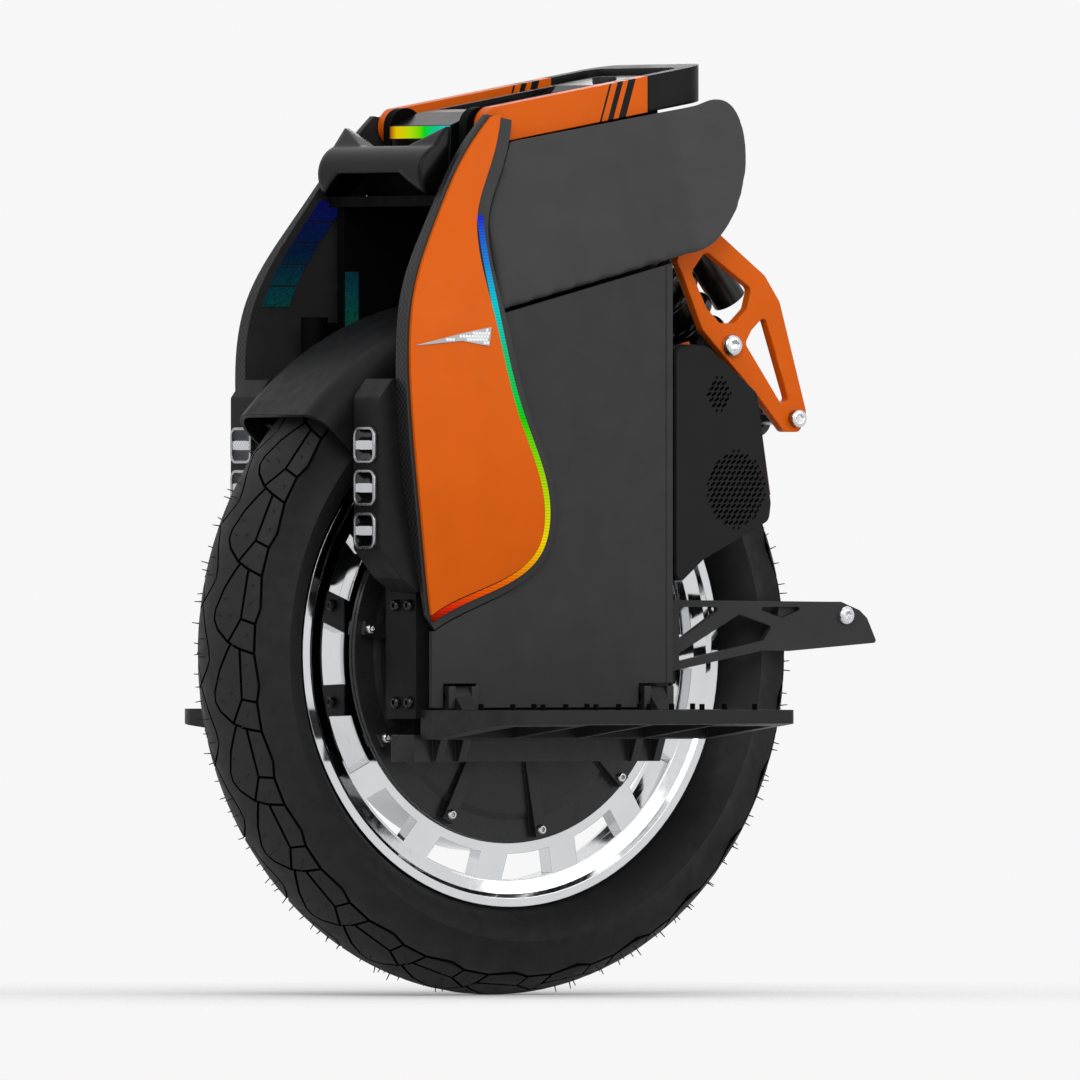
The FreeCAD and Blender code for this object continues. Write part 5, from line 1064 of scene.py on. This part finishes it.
def make_seam_lip(side):
    """The side cover's lip behind the seam under a pad."""
    bm = welded("leg_pad_" + side)
    seam = [vert.co.copy() for face in bm.faces if face.normal.z < LIP_DOWN for vert in face.verts]
    inner = min((vert.co.y for vert in bm.verts), key=abs)
    bm.free()
    rear, front = min(seam, key=lambda place: place.x), max(seam, key=lambda place: place.x)
    slope = (front.z - rear.z) / (front.x - rear.x)
    out = math.copysign(1, inner)
    rings = []
    for x in (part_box("side_covers")[0].x + LIP_DEPTH, front.x):
        middle = rear.z + slope * (x - rear.x)
        near, far = inner + out * LIP_DEPTH, inner + out * (LIP_DEPTH + LIP_THICK)
        rings.append([(x, near, middle - LIP_HALF), (x, near, middle + LIP_HALF),
                      (x, far, middle + LIP_HALF), (x, far, middle - LIP_HALF)])
    # The lip takes the side frames' near-black, which is painted shade.
    new_piece("seam_lip_" + side, tube(rings), "body",
              nodes["side_frames"].active_material)


# Coil spring

COIL_WIRE = 4.4 * MM
COIL_TURNS = 8
COIL_CLOSE_SHARE = 0.5
COIL_STEPS = 32
COIL_SIDES = 12


def make_coil():
    """Round wire wound between the shock's seats, closing up at both ends."""
    axis = Vector(joints["shock_stroke"]["axis"]).normalized()
    eye = Vector(joints["shock_swing"]["pos_m"])
    points = islands("coil_spring")[0]
    reach = points @ np.array(axis)
    centre = eye + axis * ((reach.min() + reach.max()) / 2 - eye.dot(axis))
    length = reach.max() - reach.min()
    aside = LEFT
    other = axis.cross(aside)
    radius = np.abs(points @ np.array(LEFT)).max() - COIL_WIRE
    count = COIL_TURNS * COIL_STEPS
    foot = centre - axis * (length / 2 - COIL_WIRE)
    turns = [TURN * side / COIL_SIDES for side in range(COIL_SIDES)]
    rings = []
    for share in (step / count for step in range(count + 1)):
        angle = TURN * COIL_TURNS * share
        rise = share - COIL_CLOSE_SHARE * math.sin(TURN * share) / TURN
        out = aside * math.cos(angle) + other * math.sin(angle)
        middle = foot + out * radius + axis * rise * (length - 2 * COIL_WIRE)
        rings.append([middle + (out * math.cos(turn) + axis * math.sin(turn)) * COIL_WIRE
                      for turn in turns])
    piece = new_piece("coil_wire", tube(rings), "shock_upper",
                      looks["spring_steel"], ["coil_spring"])
    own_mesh(piece)


# Speaker faces

FACE_THICK = 1.2 * MM
FACE_INSET = 1.0 * MM
FACE_FLAT = 0.9995
LEAST_CORNER = 0.3
SLOT_LENGTH = 5.4 * MM
SLOT_WIDTH = 2.1 * MM
SLOT_ROW = 4.1 * MM
SLOT_PITCH = 5.2 * MM
SLOT_SLANT = math.radians(30)
SLOT_END_STEPS = 4
# Room that a whole slot and a short one need inside the grille's edge, and the short one's length
SLOT_ROOM = SLOT_LENGTH * 0.45
SHORT_ROOM = SLOT_LENGTH * 0.15
SHORT_LENGTH = SLOT_LENGTH * 0.55
GRILLE_MARGIN = 3.2 * MM


def capsule(x, y, length, width, slant):
    ring = []
    for end in (1, -1):
        way = end * (length - width) / 2
        for step in range(SLOT_END_STEPS + 1):
            angle = slant - end * math.pi / 2 + math.pi * step / SLOT_END_STEPS
            ring.append((x + way * math.cos(slant) + width / 2 * math.cos(angle),
                         y + way * math.sin(slant) + width / 2 * math.sin(angle)))
    return ring


def slot_field(centre, radius, slant):
    """Slanted slots in staggered rows that fill a round grille."""
    rings = []
    rows = int(radius / SLOT_ROW)
    count = int(radius / SLOT_PITCH) + 1
    for row in range(-rows, rows + 1):
        for column in range(-count, count + 1):
            x = (column + 0.5 * (row % 2)) * SLOT_PITCH
            y = row * SLOT_ROW
            room = radius - math.hypot(x, y)
            if room > SHORT_ROOM:
                length = SLOT_LENGTH if room > SLOT_ROOM else SHORT_LENGTH
                rings.append(capsule(centre[0] + x, centre[1] + y, length, SLOT_WIDTH, slant))
    return rings


def rim_loops(faces):
    """The closed lines round a set of faces, each as a list of points."""
    following = {}
    for edge in (edge for face in faces for edge in face.edges):
        if len([face for face in edge.link_faces if face in faces]) == 1:
            for vert in edge.verts:
                following.setdefault(vert, []).append(edge.other_vert(vert))
    loops = []
    left = set(following)
    while left:
        onward = [min(left, key=lambda vert: vert.index)]
        loop = []
        while onward:
            loop.append(onward[0])
            left.discard(onward[0])
            onward = [vert for vert in following[onward[0]] if vert in left]
        loops.append([vert.co.copy() for vert in loop])
    return loops


def face_outline(node, out, hand, margin):
    """Outline of the flat face that looks that way on one hand, drawn in by a margin, with the
    directions and the level of the face's own plane."""
    bm = welded(node)
    loops = rim_loops({face: None for face in bm.faces if face.normal.dot(out) > FACE_FLAT
                       and face.calc_center_median().y * hand > 0})
    bm.free()
    across = UP.cross(out).normalized()
    up = out.cross(across)
    flat = [[(point.dot(across), point.dot(up)) for point in loop] for loop in loops]
    outline = max(flat, key=lambda loop: max(x for x, _ in loop) - min(x for x, _ in loop))
    level = max(point.dot(out) for loop in loops for point in loop)
    return inset(outline, margin), across, up, level


def inset(ring, margin):
    """A ring of points drawn in by a margin along the bisectors of its corners."""
    points = [Vector(point) for point in ring]
    area = sum(a.x * b.y - b.x * a.y for a, b in zip(points, points[1:] + points[:1]))
    turn = 1 if area > 0 else -1
    moved = []
    for index, point in enumerate(points):
        before = (point - points[index - 1]).normalized()
        after = (points[(index + 1) % len(points)] - point).normalized()
        normal = Vector((-(before + after).y, (before + after).x)) * turn
        reach = margin / max(normal.length / 2, LEAST_CORNER)
        moved.append(tuple(point + normal.normalized() * reach))
    return moved


def disc_facts(points):
    """Centre, outward direction and radius of a flat round solid."""
    centre = points.mean(0)
    out = Vector(np.linalg.svd(points - centre)[2][2])
    if out.y * centre[1] < 0:
        out = -out
    return Vector(centre), out, np.linalg.norm(flattened(points - centre, out), axis=1).max()


def make_speaker_faces():
    """Plates with slots over the speakers, on the pods' outer faces."""
    discs = [disc_facts(points) for points in islands("speakers")]
    meshes = []
    for side, slant in ((1, SLOT_SLANT), (-1, math.pi - SLOT_SLANT)):
        own = [disc for disc in discs if disc[0].y * side > 0]
        out = own[0][1]
        outline, across, up, level = face_outline("speaker_pods", out, side, FACE_INSET)
        holes = []
        for centre, _, radius in own:
            place = (centre.dot(across), centre.dot(up))
            holes += slot_field(place, radius + GRILLE_MARGIN, slant)
        mesh = plate_with_holes(outline, holes, FACE_THICK)
        mesh.transform(basis(out * level, across, up, out))
        meshes.append(mesh)
    new_piece("speaker_faces", joined(meshes), "body",
              nodes["speaker_pods"].active_material)


# Lamps

LAMP_ROUND = 6 * MM
LAMP_GAP = 0.4 * MM
LAMP_EDGE = 0.4 * MM
BEZEL_WIDTH = 1.3 * MM
BEZEL_DEPTH = 3.4 * MM
BACK_INSET = 1 * MM
BACK_THICK = 0.5 * MM
EMITTER_SHARE = 0.24
EMITTER_ROUND = 1 * MM
EMITTER_THICK = 2.2 * MM
CUP_DEPTH = 1.4 * MM
CUP_COLUMNS, CUP_ROWS = 10, 6
FACET_SHARE = 0.12


def reflector_cup(width, height):
    """A trough of facets from its front edge to its deep middle, in its own plane."""
    points = []
    for row in range(CUP_ROWS + 1):
        for column in range(CUP_COLUMNS + 1):
            across, up = 2 * column / CUP_COLUMNS - 1, 2 * row / CUP_ROWS - 1
            hollow = (1 - across ** 4) * (1 - up ** 2)
            depth = CUP_DEPTH * (1 - FACET_SHARE * ((column + row) % 2))
            points.append((across * width / 2, up * height / 2, -depth * hollow))
    line = CUP_COLUMNS + 1
    starts = [row * line + column for row in range(CUP_ROWS) for column in range(CUP_COLUMNS)]
    return mesh_from(points, [(at, at + 1, at + line + 1, at + line) for at in starts])


def make_lamps():
    """Bezel, back, two facet cups and a glowing bar between them for each lamp."""
    bezels, cups, emitters, backs = [], [], [], []
    for points in islands("lamp_modules"):
        low, high = Vector(points.min(0)), Vector(points.max(0))
        size = high - low
        front = Vector((low.x, (low.y + high.y) / 2, (low.z + high.z) / 2))
        place = basis(front, LEFT, UP, FORWARD)

        def ring(inside):
            return rounded_box_ring(size.y / 2 - inside, size.z / 2 - inside, LAMP_ROUND - inside)

        bezels.append(plate_with_holes(ring(0), [ring(BEZEL_WIDTH)], BEZEL_DEPTH, LAMP_EDGE))
        backs.append(plate_with_holes(ring(BACK_INSET), [], BACK_THICK))
        width = size.y - 2 * BEZEL_WIDTH - 2 * LAMP_GAP
        height = size.z * EMITTER_SHARE
        bar = rounded_box_ring(width / 2, height / 2, EMITTER_ROUND)
        emitters.append(plate_with_holes(bar, [], EMITTER_THICK, LAMP_EDGE))
        for mesh in (bezels[-1], backs[-1], emitters[-1]):
            mesh.transform(place)
        cup_height = (size.z - 2 * BEZEL_WIDTH - height) / 2 - LAMP_GAP
        for way in (1, -1):
            cup = reflector_cup(width, cup_height)
            shift = (0, way * (height + cup_height) / 2, EMITTER_THICK)
            cup.transform(place @ Matrix.Translation(shift))
            cups.append(cup)
    bezel_look = metal_look("lamp_bezel", 165, 0.3)
    cup_look = metal_look("lamp_cup", 60, 0.14)
    new_piece("lamp_bezels", joined(bezels), "body", bezel_look, ["lamp_modules"])
    new_piece("lamp_backs", joined(backs), "body", looks["speaker_black"])
    new_piece("lamp_reflectors", joined(cups), "body", cup_look)
    new_piece("lamp_emitters", joined(emitters), "body", lamp_glow_look())


# Reflector cells

CELL_PITCH = 2.7 * MM
CELL_ROW = CELL_PITCH * math.sqrt(3) / 2
CELL_REACH = CELL_PITCH * 0.53
CELL_HEIGHT = 0.7 * MM
CELL_LIFT = 0.05 * MM
CELL_SHARE = 0.92


def make_reflector_cells():
    """Hexagonal pyramids over the white wedges, as far as whole cells fit."""
    tree = surface_tree("reflectors")
    low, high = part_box("reflectors")
    bm = bmesh.new()
    rows = int((high.z - low.z) / CELL_ROW) + 2
    columns = int((high.x - low.x) / CELL_PITCH) + 2
    turns = [SIXTH / 2 + SIXTH * corner for corner in range(6)]
    for side, row, column in product((1, -1), range(rows), range(columns)):
        out = LEFT * side
        x = low.x + (column + 0.5 * (row % 2)) * CELL_PITCH
        middle = Vector((x, side, low.z + row * CELL_ROW))
        starts = [middle + (FORWARD * math.cos(turn) + UP * math.sin(turn)) * CELL_REACH
                  for turn in turns]
        centre, *hits = [tree.ray_cast(start, -out)[0] for start in [middle, *starts]]
        if centre is None or None in hits:
            continue
        rim = [bm.verts.new(centre.lerp(hit, CELL_SHARE) + out * CELL_LIFT) for hit in hits]
        top = bm.verts.new(centre + out * CELL_HEIGHT)
        for corner, after in closed_edges(len(rim)):
            bm.faces.new((rim[corner], rim[after], top))
        bm.faces.new(rim[::-1])
    new_piece("reflector_cells", mesh_of(bm), "body", looks["light_lens"])


# Lights inside the fairings, at levels above the axle

GLOW_TOP = 338 * MM
GLOW_BOTTOM = 258 * MM
GLOW_CELLS = 5
GLOW_WIDTH = 24 * MM
GLOW_EDGE = 7 * MM
GLOW_RIB = 1.2 * MM
GLOW_LIFT = 0.5 * MM
GLOW_THICK = GLOW_LIFT * 0.8
GLOW_STEPS = 4
GLOW_SEARCH = 1 * MM
GLOW_SPOT = 1.5 * MM
GLOW_SPOT_LOW, GLOW_SPOT_HIGH, GLOW_DIM = 0.35, 0.7, 0.4
PANEL_FRONT = 92 * MM
PANEL_WIDTH = 12 * MM
PANEL_BOTTOM = 240 * MM
PANEL_TOP = 284 * MM
INNER_COLORS = [(0.0, linear(10, 110, 80)), (0.3, linear(10, 90, 100)), (0.6, linear(8, 45, 90)),
                (1.0, linear(20, 25, 130))]


def surface_patch(tree, side, front, width, levels):
    """A thin plate on a surface that is seen from the middle plane, back from a front edge."""
    bm = bmesh.new()
    shares = [step / GLOW_STEPS for step in range(GLOW_STEPS + 1)]
    rows = []
    for level in (levels[0] + (levels[1] - levels[0]) * share for share in shares):
        places = [Vector((front(level) - width * share, 0, AXLE.z + level)) for share in shares]
        hits = [tree.ray_cast(place, LEFT * side)[0] for place in places]
        if None in hits:
            bm.free()
            return None
        rows.append([bm.verts.new(hit - LEFT * side * GLOW_LIFT) for hit in hits])
    for low, high in zip(rows, rows[1:]):
        for index in range(GLOW_STEPS):
            bm.faces.new((low[index], low[index + 1], high[index + 1], high[index]))
    bmesh.ops.recalc_face_normals(bm, faces=bm.faces)
    bmesh.ops.solidify(bm, geom=bm.faces[:], thickness=GLOW_THICK)
    return mesh_of(bm)


def front_edge(tree, side, level):
    """A place behind the foremost one where the fairing still has an inner face at that level."""
    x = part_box("fairing_frames")[1].x
    while tree.ray_cast(Vector((x, 0, AXLE.z + level)), LEFT * side)[0] is None:
        x -= GLOW_SEARCH
    return x - GLOW_EDGE


def inner_glow_look():
    look = Look("inner_glow", grey(8, 2), 0.35, specular=0.1)
    height = look.ramp(look.axis("Z"), AXLE.z + PANEL_BOTTOM, AXLE.z + GLOW_TOP)
    spots = look.ramp(look.noise(GLOW_SPOT), GLOW_SPOT_LOW, GLOW_SPOT_HIGH, GLOW_DIM, 1.0)
    look.glow(look.mix(1.0, look.band(height, INNER_COLORS), spots, "MULTIPLY"), strength=0.4)
    return look.done()


def make_inner_lights():
    """A ladder of lit cells on each fairing's inner face, and a lit panel on each side frame."""
    skin, walls = surface_tree("fairing_frames"), surface_tree("side_frames")
    step = (GLOW_TOP - GLOW_BOTTOM) / GLOW_CELLS
    meshes = []
    for side in (1, -1):
        front = partial(front_edge, skin, side)
        for low in (GLOW_BOTTOM + step * cell for cell in range(GLOW_CELLS)):
            levels = (low, low + step - GLOW_RIB)
            meshes.append(surface_patch(skin, side, front, GLOW_WIDTH, levels))
        levels = (PANEL_BOTTOM, PANEL_TOP)
        meshes.append(surface_patch(walls, side, lambda level: PANEL_FRONT, PANEL_WIDTH, levels))
    meshes = [mesh for mesh in meshes if mesh]
    new_piece("inner_lights", joined(meshes), "body", inner_glow_look())


# Stage

VIEW_AZIMUTH = math.radians(145)
VIEW_AIM = Vector((-29.2, 20.4, 338.4)) * MM
VIEW_WIDTH = 803.8 * MM
VIEW_DISTANCE = 28.0
VIEW_END = 100
SENSOR = 36.0
BACKGROUND = grey(247)
WORLD_LIGHT = 0.5
FLOOR_RADIUS = 3.0
FLOOR_SIDES = 96
FLOOR_DROP = 0.1 * MM
# Distances between which the floor fades, and how clear it is at each
FLOOR_FADE = (0.1, 0.9)
FLOOR_CLEAR = (0.15, 1.0)
# Name, place, size of a side and power of each lamp
LAMPS = [
    ("key", (1.9, 2.4, 2.2), 1.6, 45),
    ("side", (-1.6, 3.0, 1.4), 1.6, 20),
    ("top", (-0.2, 0.2, 3.0), 2.0, 10),
    ("back", (-2.4, -2.2, 1.6), 1.5, 18),
]


def set_up(name, data, place):
    """Places a camera or a lamp so that it looks at the object."""
    holder = bpy.data.objects.new(name, data)
    scene.collection.objects.link(holder)
    holder.location = place
    holder.rotation_euler = (VIEW_AIM - Vector(place)).to_track_quat("-Z", "Y").to_euler()
    return holder


def make_camera():
    camera = bpy.data.cameras.new("camera")
    camera.sensor_width = SENSOR
    camera.lens = SENSOR * VIEW_DISTANCE / VIEW_WIDTH
    camera.clip_end = VIEW_END
    back = Vector((math.sin(VIEW_AZIMUTH), -math.cos(VIEW_AZIMUTH), 0))
    scene.camera = set_up("camera", camera, VIEW_AIM + back * VIEW_DISTANCE)


def light_stage():
    for name, place, size, power in LAMPS:
        lamp = bpy.data.lights.new(name, "AREA")
        lamp.shape = "RECTANGLE"
        lamp.size = lamp.size_y = size
        lamp.energy = power
        set_up(name, lamp, place).visible_camera = False


def make_world():
    """Soft grey light all round; the camera and mirrors see the pale background."""
    world = bpy.data.worlds.new("studio")
    scene.world = world
    world.use_nodes = True
    world.node_tree.nodes.clear()
    net = NodeNet(world.node_tree)
    rays = net.add("LightPath").outputs
    seen = rays["Is Camera Ray"]
    for kind in ("Is Glossy Ray", "Is Transmission Ray"):
        seen = net.calc("MAXIMUM", seen, rays[kind])
    light = net.add("Background", {"Color": (1, 1, 1, 1), "Strength": WORLD_LIGHT})
    backdrop = net.add("Background", {"Color": BACKGROUND})
    net.add("OutputWorld",
            {"Surface": net.blend(seen, light.outputs[0], backdrop.outputs[0])})


def make_floor():
    """A pale floor that fades out a little way from the object."""
    bpy.ops.mesh.primitive_circle_add(vertices=FLOOR_SIDES, radius=FLOOR_RADIUS, fill_type="NGON",
                                      location=(0, 0, -FLOOR_DROP))
    floor = bpy.context.object
    floor.name = "floor"
    look = Look("floor", grey(250), 0.9, specular=0.0)
    fade = look.ramp(look.length(look.place), *FLOOR_FADE, *FLOOR_CLEAR)
    clear = look.add("BsdfTransparent").outputs[0]
    surface = look.tree.nodes["Material Output"].inputs["Surface"]
    look.put(look.blend(fade, look.shader.outputs[0], clear), surface)
    floor.data.materials.append(look.done())


make_camera()
make_world()
make_floor()
light_stage()
scene.view_settings.view_transform = "Standard"

dress_nodes()
make_tyre()
make_tyre_hairs()
make_bolts("shock_plate_bolts", "carriage", LEFT, 5 * MM, looks["bolt_steel"])
make_bolts("mudguard_bolts", "carriage", LEFT, 4 * MM, looks["bolt_steel"])
make_bolts("motor_cover_screws", "wheel", LEFT, 3 * MM, looks["bolt_steel"])
make_bolts("slider_bolts", "carriage", FORWARD, 4 * MM, looks["spring_steel"])
make_bolts("shock_lower_pin", "carriage", LEFT, 1.5 * MM, looks["bolt_steel"], kept=True)
for pad_side, pad_hand in (("left", 1), ("right", -1)):
    make_pad(pad_side, pad_hand)
    make_seam_lip(pad_side)
make_coil()
make_speaker_faces()
make_lamps()
make_reflector_cells()
make_inner_lights()
